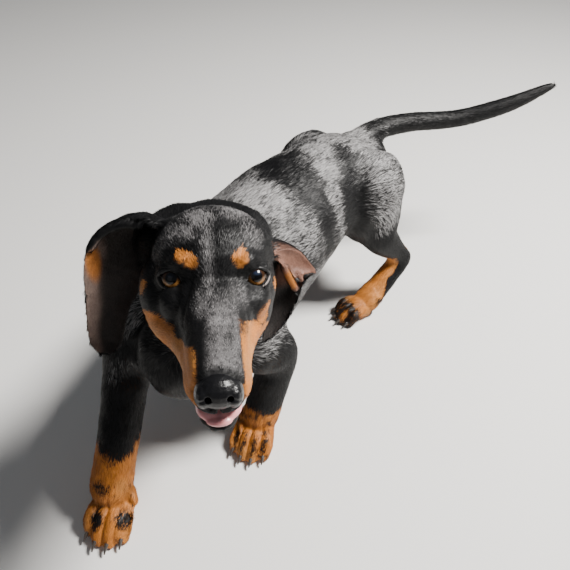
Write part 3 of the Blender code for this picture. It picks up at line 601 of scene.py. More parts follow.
def silver_share(p, h, labels):
    """How much of the black coat is silver hair."""
    patch = 0.62 * noise(p * (1, 0.8, 0.8), 0.036, 21) + 0.30 * noise(p, 0.015, 22)
    rough = p + 0.0035 * noise(p, 0.012, 27)[:, None] + 0.0018 * noise(p, 0.004, 28)[:, None]
    share = 0.05 + 0.50 * ramp(patch, -0.25, 0.35)
    for centre, radii, amount in SILVER_ON_BODY:
        share = np.maximum(share, amount * blob(rough, centre, radii, 0.35))
    for centre, radii, amount in BLACK_ON_BODY:
        share = share * (1 - amount * blob(rough, centre, radii, 0.35))
    edge = 0.121 + 0.35 * np.clip(p[:, 1] - 0.150, -0.03, 0.05) + 0.004 * noise(p, 0.010, 29)
    share = share * (0.04 + 0.96 * ramp(p[:, 2] - edge, -0.003, 0.006))
    share = share * (1 + 0.35 * noise(p * (1, 0.5, 1), 0.005, 23))
    share = share * is_one_of(labels, "torso", "hindleg", "foreleg", "neck")
    share = share * (1 - 0.80 * is_one_of(labels, "foreleg"))
    nape = is_one_of(labels, "neck") | (is_one_of(labels, "torso") & (p[:, 1] < -0.06))
    share = np.where(nape, share * 0.55, share)
    share = np.where(is_one_of(labels, "tail"), 0.03, share)

    head = is_one_of(labels, "head", "lower_jaw")
    fine = 0.5 * noise(h * (1, 0.6, 1), 0.0045, 24) + 0.5 * noise(h * (1, 0.4, 1), 0.0018, 25)
    rough = h + 0.0022 * noise(h, 0.007, 26)[:, None]
    on_head = np.zeros(len(p))
    bridge_x = ramp(h[:, 0], -0.0088, -0.0010) * ramp(0.0148 - h[:, 0], 0, 0.0040)
    bridge = bridge_x * ramp(-h[:, 1], 0.016, 0.042) * (h[:, 2] > -0.028)
    on_head = np.maximum(on_head, 0.50 * bridge)
    streak = np.exp(-(((h[:, 0] + 0.0035) / 0.0036) ** 2)) * ramp(-h[:, 1], -0.014, 0.004)
    on_head = np.maximum(on_head, 0.42 * streak * (h[:, 2] > -0.010))
    for centre, radii, amount in SILVER_ON_HEAD:
        on_head = np.maximum(on_head, amount * blob(rough, centre, radii, 0.7))
    for centre, radii, amount in BLACK_ON_HEAD:
        on_head *= 1 - amount * blob(rough, centre, radii, 0.4)
    on_head = np.clip(on_head * (1 + 1.1 * fine), 0, 1)
    on_head *= ramp(off_nose(p + SHIFT), 0.0008, 0.0050)
    return np.where(head, on_head, share)


# On the body, in the draft's frame: centre, reach and how much silver, or how much of it goes
SILVER_ON_BODY = (
    ((0.012, 0.006, 0.216), (0.036, 0.030, 0.022), 0.66),
    ((0.004, 0.124, 0.217), (0.020, 0.018, 0.012), 0.78),
    ((0.030, 0.101, 0.211), (0.019, 0.015, 0.014), 0.76),
    ((0.050, 0.086, 0.195), (0.014, 0.011, 0.016), 0.62),
    ((0.061, 0.084, 0.174), (0.010, 0.009, 0.020), 0.48),
    ((0.063, 0.024, 0.190), (0.020, 0.018, 0.032), 0.38),
    ((0.065, 0.164, 0.170), (0.036, 0.030, 0.048), 0.54),
    ((0.020, 0.190, 0.205), (0.034, 0.034, 0.020), 0.70),
    ((-0.010, 0.160, 0.212), (0.020, 0.020, 0.014), 0.74),
    ((-0.036, 0.132, 0.204), (0.022, 0.048, 0.022), 0.34),
    ((0.098, -0.080, 0.143), (0.020, 0.030, 0.016), 0.70),
    ((0.003, -0.142, 0.177), (0.014, 0.016, 0.016), 0.80),
)
BLACK_ON_BODY = (
    ((0.008, 0.062, 0.214), (0.042, 0.030, 0.024), 0.92),
    ((0.034, 0.052, 0.208), (0.018, 0.014, 0.014), 0.92),
    ((0.048, 0.066, 0.201), (0.014, 0.009, 0.013), 0.95),
    ((0.061, 0.058, 0.182), (0.016, 0.010, 0.018), 0.97),
    ((0.067, 0.054, 0.160), (0.016, 0.010, 0.020), 0.97),
    ((0.022, 0.137, 0.212), (0.010, 0.008, 0.008), 0.80),
    ((0.043, 0.128, 0.199), (0.015, 0.013, 0.014), 0.97),
    ((0.055, 0.118, 0.183), (0.016, 0.018, 0.018), 0.98),
    ((0.060, 0.113, 0.160), (0.018, 0.022, 0.022), 0.98),
    ((0.060, 0.130, 0.132), (0.022, 0.020, 0.028), 0.98),
    ((0.071, 0.141, 0.172), (0.011, 0.007, 0.011), 0.75),
    ((0.008, 0.225, 0.208), (0.016, 0.014, 0.016), 0.85),
    ((0.060, -0.020, 0.165), (0.040, 0.014, 0.045), 0.80),
    ((0.060, -0.070, 0.108), (0.080, 0.060, 0.032), 0.90),
)
# In the head's frame: centre, reach and how much silver, or how much of it goes
SILVER_ON_HEAD = (
    ((-0.0095, 0.018, 0.0370), (0.0110, 0.013, 0.008), 0.72),
    ((-0.0190, 0.006, 0.0285), (0.0085, 0.009, 0.006), 0.62),
    ((0.0165, 0.034, 0.0375), (0.0120, 0.018, 0.008), 0.62),
    ((0.0255, 0.012, 0.0270), (0.0065, 0.012, 0.010), 0.38),
    ((-0.0290, 0.014, 0.0250), (0.0085, 0.012, 0.007), 0.42),
    ((-0.0360, 0.018, 0.0140), (0.0060, 0.012, 0.010), 0.30),
    ((0.0150, -0.022, -0.0040), (0.0060, 0.012, 0.008), 0.32),
    ((-0.0060, -0.034, -0.0060), (0.0060, 0.014, 0.008), 0.34),
    ((-0.0130, 0.046, 0.0380), (0.0140, 0.014, 0.008), 0.20),
)
BLACK_ON_HEAD = (
    ((0.0085, 0.001, 0.0290), (0.0070, 0.0085, 0.0075), 0.92),
    ((-0.0270, -0.004, 0.0000), (0.0150, 0.014, 0.0110), 0.90),
    ((0.0280, 0.000, 0.0000), (0.0120, 0.012, 0.0100), 0.85),
)


def black_on_tan(p, labels):
    """Dark marks on the tan of the paws: the toes' pencil lines and two patches on the right wrist."""
    dark = np.zeros(len(p))
    row = p + SHIFT
    for name in PAWS:
        q = to_paw(row, name) + 0.0018 * noise(p, 0.004, 31)[:, None]
        on_paw = is_one_of(labels, name)
        if name == "forepaw_right":
            dark = np.maximum(dark, on_paw * 0.95 * blob(q, (-0.0075, -0.0205, 0.022), (0.0058, 0.0098, 0.013), 0.3))
            dark = np.maximum(dark, on_paw * 0.95 * blob(q, (0.0160, -0.0165, 0.023), (0.0074, 0.0088, 0.012), 0.3))
            continue
        for side, reach in TOES:
            line = blob(q, (side, -reach * 0.80, 0.018), (0.0026, 0.0105, 0.010), 0.4)
            dark = np.maximum(dark, 0.85 * line * on_paw)
        if name.startswith("hindpaw"):
            dark = np.maximum(dark, on_paw * 0.95 * ramp(-q[:, 1], 0.005, 0.013))
            pale = blob(q, (0.0054, -0.026, 0.013), (0.0048, 0.010, 0.010), 0.4)
            dark *= 1 - 0.8 * pale
    rough = p + 0.0035 * noise(p, 0.006, 33)[:, None]
    dark = np.maximum(dark, 0.85 * blob(rough, (0.034, -0.232, 0.048), (0.008, 0.009, 0.005), 0.5))
    dark = np.maximum(dark, 0.75 * blob(rough, (0.052, -0.212, 0.040), (0.005, 0.008, 0.006), 0.5))
    spots = ramp(noise(p, 0.005, 32), 0.30, 0.65)
    dark = np.maximum(dark, 0.65 * spots * is_one_of(labels, "forepaw_left"))
    return np.maximum(dark, 0.12 * spots * is_one_of(labels, "forepaw_right"))


def inner_ear(h, normals, labels):
    """1 on the side of each ear that lies to the face."""
    own = normals @ HEAD_AXES
    rim = ramp(h[:, 2] - np.interp(-h[:, 0], (0.045, 0.060, 0.075, 0.090), (0.024, 0.024, 0.019, 0.004)),
               -0.001, 0.003)
    return is_one_of(labels, "ear") * ramp(-own[:, 1], 0.05, 0.45) * (1 - rim * (h[:, 0] < 0))


def lips(h, labels):
    """1 on the bare rims of the mouth and within it."""
    off = abs(h[:, 2] - mouth_height(h[:, 1]))
    opening = np.interp(-h[:, 1], (0.01, 0.04, 0.07, 0.10), (0.0006, 0.0022, 0.0032, 0.0042))
    rim = 1 - ramp(off - opening, 0.0010, 0.0022)
    return rim * ramp(-h[:, 1], 0.004, 0.014) * is_one_of(labels, "head", "lower_jaw")


def coat_colour(points, normals, labels, draws=None):
    """The colour at each point. With draws, the tufts differ from one another."""
    p, h = points - SHIFT, to_head(points)
    silver = silver_share(p, h, labels)
    tan = tan_share(p, h, labels)
    dark = black_on_tan(p, labels)
    inner = inner_ear(h, normals, labels)
    shade = 1 + 0.14 * noise(p, 0.010, 41) + 0.10 * noise(p, 0.003, 42)
    head = is_one_of(labels, "head", "lower_jaw", "ear")
    if draws is not None:
        sharp = np.where(head, 1.5, 2.2)
        silver = np.clip(0.5 + (silver - draws[:, 0]) * sharp, 0, 1) * ramp(silver, 0.0, 0.12)
        tan = (0.5 + (draws[:, 1] - 0.5) * 0.7 < tan).astype(float)
        dark = (draws[:, 2] < dark).astype(float)
        shade = shade * (0.80 + 0.40 * draws[:, 3])
    grey = np.where(head[:, None], GREY, SILVER)
    out = BLACK + (grey - BLACK) * silver[:, None]
    pale = ramp(noise(p, 0.018, 43), -0.2, 0.9)[:, None] * 0.45
    tans = TAN + (PALE_TAN - TAN) * pale
    out = out + (tans - out) * tan[:, None]
    out = out + (BLACK - out) * (dark * tan)[:, None]
    out = out * shade[:, None]
    ear = ear_colour(h)
    out = out + (ear - out) * inner[:, None]
    out = out + (LIP - out) * lips(h, labels)[:, None]
    return np.clip(out, 0.0015, 0.95)


def ear_colour(h):
    """The inner face of each ear: bare and pinkish, with a little tan at its front edge; on the right ear the part
    toward the face is darker, partly darker hair and partly painted shade of the head.
    """
    mottle = 1 + 0.25 * noise(h, 0.008, 44) + 0.15 * noise(h, 0.0025, 45)
    left = ramp(h[:, 0], 0.0, 0.01)[:, None]
    spot = blob(h, (-0.0852, 0.060, -0.001), (0.0046, 0.020, 0.0150), 0.4)[:, None]
    # On the right ear the part toward the face is darkened: partly its darker hair, partly painted shade cast by the
    # head
    inward = h[:, 0] - 0.11 * (h[:, 2] + 0.008) + 0.003 * noise(h, 0.010, 46)
    head_shade_and_dark_hair = ramp(inward, -0.0845, -0.0765)[:, None] * 0.92
    right_ear = INNER_EAR + (EAR_SHADE_AND_DARK_HAIR - INNER_EAR) * head_shade_and_dark_hair
    right_ear = right_ear + (TAN - right_ear) * spot * 0.85
    low = ramp(-h[:, 2], 0.018, 0.028)[:, None]
    lobe = blob(h, (0.054, 0.040, -0.013), (0.0060, 0.0060, 0.0095), 0.3)[:, None]
    left_ear = FLAP + (EAR_LEATHER - FLAP) * low
    left_ear = left_ear + (TAN - left_ear) * lobe * 0.9
    return (right_ear + (left_ear - right_ear) * left) * mottle[:, None]


# The lie and the length of the coat


def flow_of(verts, tris, normals, labels):
    """The way that the hair lies at each vertex of the skin."""
    p, h = verts - SHIFT, to_head(verts)
    way = np.tile(np.array([0.0, 1.0, -0.12]), (len(verts), 1))
    low = ramp(0.17 - p[:, 2], 0, 0.06) * is_one_of(labels, "torso")
    way[:, 2] -= 0.25 * low
    front = ramp(-p[:, 1], 0.09, 0.15) * is_one_of(labels, "torso")
    way += front[:, None] * (0.0, -0.7, -1.0)
    rump = ramp(p[:, 1], 0.19, 0.23) * is_one_of(labels, "torso")
    way += rump[:, None] * (0.0, -0.6, -0.9)
    way[is_one_of(labels, "neck")] = (-0.058, 0.074, -0.078)
    face = is_one_of(labels, "head", "lower_jaw")
    own = np.tile(np.array([0.0, 1.0, 0.0]), (len(verts), 1))
    own[:, 0] = 5 * h[:, 0] * ramp(h[:, 1], -0.03, 0.02)
    own[:, 2] = np.where(h[:, 2] < 0, -0.30, 0.12) * ramp(h[:, 1], -0.05, 0.0)
    way[face] = own[face] @ HEAD_AXES.T
    for side, name in ((1, "ear_left"), (-1, "ear_right")):
        down = HEAD_AXES @ np.array([side * 0.22, 0.18, -1.0])
        way[labels == LABEL[name]] = down
    way[labels == LABEL["foreleg_left"]] = (0.0, -0.05, -1)
    way[labels == LABEL["foreleg_right"]] = (0.25, -0.55, -0.75)
    way[is_one_of(labels, "hindleg")] = (0.0, 0.40, -1)
    shank = is_one_of(labels, "hindleg") & (p[:, 2] < 0.062)
    way[shank] = (0.0, -0.75, -0.6)
    for name in PAWS:
        toes = turn(PAWS[name][1], "Z") @ np.array([0, -1.0, -0.45])
        way[labels == LABEL[name]] = toes
    on_tail = labels == LABEL["tail"]
    middle_line = spline([(0.006, 0.232, 0.198), (0.030, 0.278, 0.200), (0.072, 0.328, 0.199),
                          (0.116, 0.376, 0.211), (0.150, 0.415, 0.229)], 12)
    nearest = ((p[on_tail][:, None] - middle_line) ** 2).sum(-1).argmin(axis=1)
    way[on_tail] = unit(np.gradient(middle_line, axis=0))[nearest]
    way = unit(way)
    pairs = neighbours(tris)
    for _ in range(30):
        way = way - normals * (way * normals).sum(axis=1)[:, None]
        way = unit(0.5 * unit(way) + 0.5 * averaged(way, pairs, len(verts)))
    way = way - normals * (way * normals).sum(axis=1)[:, None]
    return unit(way)


def bend_along(verts, tris, normals, way):
    """How fast the skin curves away under the hair at each vertex, below 0 in a hollow."""
    pairs = neighbours(tris)
    a, b = pairs >> 32, pairs & 0xFFFFFFFF
    step, turned = verts[b] - verts[a], normals[b] - normals[a]
    over, under = np.zeros(len(verts)), np.zeros(len(verts))
    for end in (a, b):
        run = (step * way[end]).sum(axis=1)
        over += np.bincount(end, run * (turned * way[end]).sum(axis=1), len(verts))
        under += np.bincount(end, run * run, len(verts))
    bend = over / np.maximum(under, 1e-12)
    for _ in range(5):
        bend = averaged(bend[:, None], pairs, len(verts))[:, 0]
    return np.clip(bend, -90, 70)


def hair_sizes(p, h, labels, inner):
    """Length and width of a tuft."""
    length = np.full(len(p), 0.0085)
    width = np.full(len(p), 0.00050)
    face = is_one_of(labels, "head", "lower_jaw")
    back = ramp(h[:, 1], -0.06, 0.06)
    length = np.where(face, 0.0018 + 0.0044 * back, length)
    width = np.where(face, 0.00024 + 0.00014 * back, width)
    ear = is_one_of(labels, "ear")
    length = np.where(ear, 0.0050 - 0.0030 * inner, length)
    width = np.where(ear, 0.00036 - 0.00008 * inner, width)
    leg = is_one_of(labels, "foreleg") | (is_one_of(labels, "hindleg") & (p[:, 2] < 0.10))
    length = np.where(leg, 0.0058, length)
    width = np.where(leg, 0.00042, width)
    paw = is_one_of(labels, "forepaw", "hindpaw")
    length = np.where(paw, 0.0030 + 0.0020 * ramp(p[:, 2], 0.010, 0.035), length)
    width = np.where(paw, 0.00032, width)
    tail = is_one_of(labels, "tail")
    length = np.where(tail, 0.0075, length)
    width = np.where(tail, 0.00042, width)
    return length, width


def hairless(points, h, labels):
    """Where no tuft grows: lips, the mouth, the nose's edge, the lids' rims and the pads."""
    bare = lips(h, labels)
    bare = np.maximum(bare, off_nose(points) < 0.0004)
    for side in (1, -1):
        centre, axes = eye_axes(side)
        q = (points - centre) @ axes
        near = (np.linalg.norm(q, axis=1) < 0.020) & (q[:, 2] > 0)
        off = np.full(len(points), 1.0)
        off[near] = off_outline(q[near][:, :2])
        bare = np.maximum(bare, off < 0.0016)
    return np.maximum(bare, points[:, 2] < 0.0022)


def grow_coat(name, slot, skin, chosen, count, seed):
    """Thin overlapping tufts over the chosen triangles of the skin."""
    rng = np.random.default_rng(seed)
    verts, tris, normals, way, bend, labels, patches = skin
    tris = tris[chosen]
    corners = verts[tris]
    area = np.linalg.norm(np.cross(corners[:, 1] - corners[:, 0], corners[:, 2] - corners[:, 0]), axis=1)
    edges = np.cumsum(area)
    picked = np.searchsorted(edges, rng.random(count) * edges[-1])
    a, b = rng.random((2, count))
    over = a + b > 1
    a, b = np.where(over, 1 - a, a), np.where(over, 1 - b, b)
    share = np.column_stack([1 - a - b, a, b])
    tri = tris[picked]
    root = (verts[tri] * share[:, :, None]).sum(axis=1)
    normal = unit((normals[tri] * share[:, :, None]).sum(axis=1))
    lie = (way[tri] * share[:, :, None]).sum(axis=1)
    label = labels[tri[:, 0]]
    h = to_head(root)
    curve = (bend[tri] * share).sum(axis=1)
    draws = rng.random((count, 6))
    keep = hairless(root, h, label) < draws[:, 4]
    root, normal, lie, label, h, tri = (x[keep] for x in (root, normal, lie, label, h, tri))
    draws, curve = draws[keep], curve[keep]
    count = len(root)
    p = root - SHIFT
    inner = inner_ear(h, normal, label)
    length, width = hair_sizes(p, h, label, inner)
    length = length * (0.72 + 0.5 * rng.random(count))
    width = width * (0.75 + 0.5 * rng.random(count))
    stray = 0.10 * rng.normal(size=(count, 3)) + 0.10 * noise(p, 0.012, 51)[:, None] * (1, 0, -1)
    lie = lie + stray
    lie = unit(lie - normal * (lie * normal).sum(axis=1)[:, None])
    side = np.cross(normal, lie)
    tilt = rng.normal(size=count)[:, None] * 0.22
    side = unit(side + normal * tilt)
    lift = (0.085 + 0.03 * rng.normal(size=count))[:, None]
    size, half = length[:, None], width[:, None] / 2
    base = root - normal * 0.0002
    fall = 0.5 * curve[:, None] * size**2
    mid = root + lie * size * 0.42 + normal * (size * lift - fall * 0.42**2)
    tip = root + lie * size + normal * (size * lift * 1.15 - fall)
    points = np.stack([base, mid - side * half, mid + side * half, tip], axis=1).reshape(-1, 3)
    points[:, 2] = np.maximum(points[:, 2], 0.0004)
    first = np.arange(count) * 4
    faces = np.vstack([np.column_stack([first, first + 2, first + 1]),
                       np.column_stack([first + 1, first + 2, first + 3])])
    colour = coat_colour(root, normal, label, draws)
    colours = colour[:, None] * np.array([0.70, 1.0, 1.0, 1.12])[None, :, None]
    obj = add_object(name, make_mesh(name, points, faces))
    paint(obj.data, colours.reshape(-1, 3))
    spread = np.array([(0, -0.0015), (-0.0015, 0), (0.0015, 0), (0, 0.0015)])
    uv = (patches[tri[:, 0]][:, None] + spread).reshape(-1, 2)
    layer = obj.data.uv_layers.new(name="OFBake")
    layer.data.foreach_set("uv", uv[faces.ravel()].astype(np.float32).ravel())
    obj.data.materials.append(coat_material())
    dress(obj, slot)
    return obj


# The colours hold the coat's markings and also painted light: the eyes' sky reflection and lid shade, the lids'
# highlight, and the shade on the right ear
def paint(mesh, colours):
    layer = mesh.color_attributes.new("MarkingsAndPaintedLight", "FLOAT_COLOR", "POINT")
    rgba = np.ones((len(colours), 4), np.float32)
    rgba[:, :3] = colours
    layer.data.foreach_set("color", rgba.ravel())


def unwrap_places(verts, tris):
    """For each vertex, its place on an unwrap of the skin's own shape."""
    coarse_verts, coarse_tris = thinned(verts, tris, 9000, np.zeros(len(verts)))
    obj = add_object("unwrap", make_mesh("unwrap", coarse_verts, coarse_tris))
    bpy.context.view_layer.objects.active = obj
    obj.select_set(True)
    bpy.ops.object.mode_set(mode="EDIT")
    bpy.ops.mesh.select_all(action="SELECT")
    bpy.ops.uv.smart_project(angle_limit=math.radians(66), island_margin=0.004)
    bpy.ops.object.mode_set(mode="OBJECT")
    loops = np.empty(len(obj.data.loops) * 2, np.float32)
    obj.data.uv_layers.active.data.foreach_get("uv", loops)
    starts = np.empty(len(obj.data.polygons), np.int32)
    obj.data.polygons.foreach_get("loop_start", starts)
    corners = np.empty(len(obj.data.loops), np.int32)
    obj.data.loops.foreach_get("vertex_index", corners)
    loops = loops.reshape(-1, 2)
    face_uv = np.stack([loops[starts + k] for k in range(3)], axis=1)
    face_at = np.stack([coarse_verts[corners[starts + k]] for k in range(3)], axis=1)
    tree = BVHTree.FromPolygons(coarse_verts.tolist(), corners.reshape(-1, 3).tolist())
    discard(obj)
    found = [tree.find_nearest(v) for v in verts.tolist()]
    at = np.array([f[0] for f in found])
    face = np.array([f[2] for f in found])
    a, b, c = (face_at[face][:, k] for k in range(3))
    ab, ac, ap = b - a, c - a, at - a
    d00, d01, d11 = (ab * ab).sum(1), (ab * ac).sum(1), (ac * ac).sum(1)
    d20, d21 = (ap * ab).sum(1), (ap * ac).sum(1)
    whole = np.maximum(d00 * d11 - d01 * d01, 1e-18)
    v, w = (d11 * d20 - d01 * d21) / whole, (d00 * d21 - d01 * d20) / whole
    share = np.clip(np.column_stack([1 - v - w, v, w]), 0, 1)
    uv = (face_uv[face] * share[:, :, None]).sum(axis=1)
    return np.clip(uv, 0.002, 0.998)


# Materials

_materials = {}


def material(name, colour, roughness, **sockets):
    """A Principled material, and its nodes to add to."""
    mat = bpy.data.materials.new(name)
    mat.use_nodes = True
    tree = mat.node_tree
    shader = tree.nodes["Principled BSDF"]
    shader.inputs["Base Color"].default_value = (*colour, 1)
    shader.inputs["Roughness"].default_value = roughness
    for socket, value in sockets.items():
        shader.inputs[socket.replace("_", " ")].default_value = value
    return mat, tree, shader


def add_node(tree, kind, **settings):
    node = tree.nodes.new(kind)
    for key, value in settings.items():
        if key in node.inputs:
            node.inputs[key].default_value = value
        else:
            setattr(node, key, value)
    return node


def bumped(tree, shader, height, strength, distance):
    bump = add_node(tree, "ShaderNodeBump", Strength=strength, Distance=distance)
    tree.links.new(height, bump.inputs["Height"])
    tree.links.new(bump.outputs["Normal"], shader.inputs["Normal"])


def coat_material():
    if "coat" in _materials:
        return _materials["coat"]
    mat, tree, shader = material("coat_hair", (0.02, 0.02, 0.02), 0.48, Specular_IOR_Level=0.30)
    marks = add_node(tree, "ShaderNodeAttribute", attribute_name="MarkingsAndPaintedLight")
    tree.links.new(marks.outputs["Color"], shader.inputs["Base Color"])
    _materials["coat"] = mat
    return mat


def skin_material():
    mat, tree, shader = material("skin", (0.02, 0.02, 0.02), 0.62, Specular_IOR_Level=0.2)
    marks = add_node(tree, "ShaderNodeAttribute", attribute_name="MarkingsAndPaintedLight")
    place = add_node(tree, "ShaderNodeTexCoord")
    hair = add_node(tree, "ShaderNodeTexNoise", Scale=900.0, Detail=4.0)
    tree.links.new(place.outputs["Object"], hair.inputs["Vector"])
    tree.links.new(marks.outputs["Color"], shader.inputs["Base Color"])
    bumped(tree, shader, hair.outputs["Fac"], 0.35, 0.0004)
    return mat


def dress(obj, slot, *nodes):
    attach(obj, "root")
    if nodes:
        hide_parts(*nodes)


# The eyes

IRIS_R, PUPIL_R = 0.0065, 0.0037
LID_BLACK = np.array([0.006, 0.0055, 0.0058])
# The lower lids' rim: pale pinkish skin, with a painted highlight of its wet surface
LID_RIM_AND_HIGHLIGHT = np.array([0.40, 0.34, 0.32])


def make_eye(name, side):
    """A ball with a bulging cornea, and its iris and pupil painted round the gaze, with painted shade of the upper
    lid over the iris's top and a painted sky reflection above the pupil.
    """
    centre, axes = eye_axes(side, EYES_LOOK)
    rings, sides = 72, 96
    angle = np.linspace(0, math.pi, rings)[1:-1]
    turn_at = np.linspace(0, 2 * math.pi, sides, endpoint=False)
    radius = EYE_R - 0.00015 + 0.0009 * np.exp(-((angle / 0.55) ** 2) * 1.2)
    r, t = np.meshgrid(angle, turn_at, indexing="ij")
    size = radius[:, None]
    local = np.stack([size * np.sin(r) * np.cos(t), size * np.sin(r) * np.sin(t), size * np.cos(r)], -1)
    verts = centre + local.reshape(-1, 3) @ axes.T
    tris = rings_to_tris(rings - 2, sides)
    if np.linalg.det(axes) > 0:
        tris = tris[:, ::-1]
    obj = add_object(name, make_mesh(name, verts, tris))
    flat = local.reshape(-1, 3)
    away = np.linalg.norm(flat[:, :2], axis=1) + np.where(flat[:, 2] < 0, 0.02, 0)
    around = np.arctan2(flat[:, 1], flat[:, 0])
    rays = 0.5 + 0.5 * np.sin(around * 37 + 3 * np.sin(around * 5)) * np.cos(around * 23)
    # The iris is amber only low down; above, it is painted dark brown as the shade of the upper lid
    lower = ramp(-flat[:, 1], -0.0008, 0.0045)[:, None]
    iris = np.array([0.030, 0.013, 0.006]) * (1 - lower) + np.array([0.33, 0.150, 0.040]) * lower
    iris = iris * (0.65 + 0.5 * rays[:, None])
    rim = ramp(away, IRIS_R - 0.0016, IRIS_R)[:, None]
    iris = iris * (1 - 0.85 * rim)
    white = np.array([0.050, 0.036, 0.030])
    colour = iris + (white - iris) * ramp(away, IRIS_R, IRIS_R + 0.0006)[:, None]
    pupil = 1 - ramp(away, PUPIL_R - 0.0002, PUPIL_R + 0.0004)[:, None]
    colour = colour + (np.array([0.0015, 0.0015, 0.002]) - colour) * pupil
    # A painted reflection of the sky: a soft bluish spot above the pupil, weaker on the right eye, which lies in
    # shade
    sky_reflection_spot = 1 - ramp(np.linalg.norm((flat[:, :2] - (0.0002, 0.0022)) / (0.0034, 0.0018), axis=1), 0.3, 1.1)
    painted_sky_reflection = np.array([0.010, 0.016, 0.034]) * (0.9 if side > 0 else 0.35)
    colour = colour + painted_sky_reflection * (sky_reflection_spot * (flat[:, 2] > 0))[:, None]
    paint(obj.data, colour)
    mat, tree, shader = material(name, (0.03, 0.016, 0.008), 0.22, Coat_Weight=1.0,
                                 Coat_Roughness=0.02, Coat_IOR=1.36, Specular_IOR_Level=0.1)
    marks = add_node(tree, "ShaderNodeAttribute", attribute_name="MarkingsAndPaintedLight")
    tree.links.new(marks.outputs["Color"], shader.inputs["Base Color"])
    obj.data.materials.append(mat)
    dress(obj, "eye", name.replace("ball", "eye"))
    return obj


def make_lids(name, side, skin_tree):
    """The rims of both lids, as one band from the ball out onto the skin."""
    centre, axes = eye_axes(side)
    count = 120
    edge = lid_outline(count)
    mid = edge.mean(axis=0)
    out = unit(edge - mid)
    after, before = np.roll(edge, -1, axis=0), np.roll(edge, 1, axis=0)
    along = unit(after - before)
    normal = np.column_stack([along[:, 1], -along[:, 0]])
    normal *= np.sign((normal * out).sum(axis=1))[:, None]
    rows = []
    for off, rise in ((-0.0005, -0.0004), (-0.0001, 0.0002), (0.0002, 0.0008), (0.0008, 0.0013),
                      (0.0016, 0.0014), (0.0024, 0.0010)):
        uv = edge + normal * off
        flat = np.linalg.norm(uv, axis=1)
        radius = EYE_R + 0.0003 + rise
        depth = np.sqrt(np.maximum(radius**2 - flat**2, 1e-6))
        rows.append(centre + np.column_stack([uv, depth]) @ axes.T)
    for off, sunk in ((0.0032, 0.0002), (0.0042, 0.0010)):
        uv = edge + normal * off
        flat = np.linalg.norm(uv, axis=1)
        depth = np.sqrt(np.maximum((EYE_R + 0.004) ** 2 - flat**2, 1e-6))
        start = centre + np.column_stack([uv, depth + 0.004]) @ axes.T
        ring = []
        for place in start:
            spot, facing, _, _ = skin_tree.find_nearest(Vector(place))
            ring.append(np.array(spot) - np.array(facing) * sunk)
        rows.append(np.array(ring))
    verts = np.vstack(rows)
    tris = rings_to_tris(len(rows), count, closed_ends=False)
    if side > 0:
        tris = tris[:, ::-1]
    obj = add_object(name, make_mesh(name, verts, tris))
    lower = ramp(-edge[:, 1] + 0.18 * edge[:, 0], 0.0005, 0.0025)
    # Painted highlight on the wet lower rim: strong on the left eye, faint on the right, which lies in shade
    rim_highlight_share = 0.9 if side > 0 else 0.10
    pale = np.concatenate([lower * rim_highlight_share * row for row in (0.2, 0.9, 1.0, 0.7, 0.1, 0, 0, 0)])
    paint(obj.data, LID_BLACK + (LID_RIM_AND_HIGHLIGHT - LID_BLACK) * pale[:, None])
    mat, tree, shader = material(name, LID_BLACK, 0.50, Coat_Weight=0.12, Coat_Roughness=0.15,
                                 Specular_IOR_Level=0.3)
    marks = add_node(tree, "ShaderNodeAttribute", attribute_name="MarkingsAndPaintedLight")
    tree.links.new(marks.outputs["Color"], shader.inputs["Base Color"])
    place = add_node(tree, "ShaderNodeTexCoord")
    grain = add_node(tree, "ShaderNodeTexNoise", Scale=1400.0, Detail=3.0)
    tree.links.new(place.outputs["Object"], grain.inputs["Vector"])
    bumped(tree, shader, grain.outputs["Fac"], 0.25, 0.0003)
    obj.data.materials.append(mat)
    dress(obj, "coat_black")
    return obj


# Nose, tongue and claws


def refined(node, voxel, rounds):
    verts, tris = welded(*read_mesh(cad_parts[node].data))
    verts, tris = voxel_fused(verts, tris, voxel)
    pairs = neighbours(tris)
    return relaxed(verts, pairs, rounds, np.ones(len(verts))), tris


def make_nose():
    verts, tris = refined("nose", 0.00045, 6)
    obj = add_object("nose_leather", make_mesh("nose_leather", verts, tris))
    mat, tree, shader = material("nose_leather", (0.0042, 0.0042, 0.0050), 0.34, Coat_Weight=0.14,
                                 Coat_Roughness=0.20, Specular_IOR_Level=0.24)
    place = add_node(tree, "ShaderNodeTexCoord")
    cells = add_node(tree, "ShaderNodeTexVoronoi", Scale=1300.0)
    tree.links.new(place.outputs["Object"], cells.inputs["Vector"])
    bumped(tree, shader, cells.outputs["Distance"], 0.45, 0.0003)
    obj.data.materials.append(mat)
    dress(obj, "nose_leather", "nose")


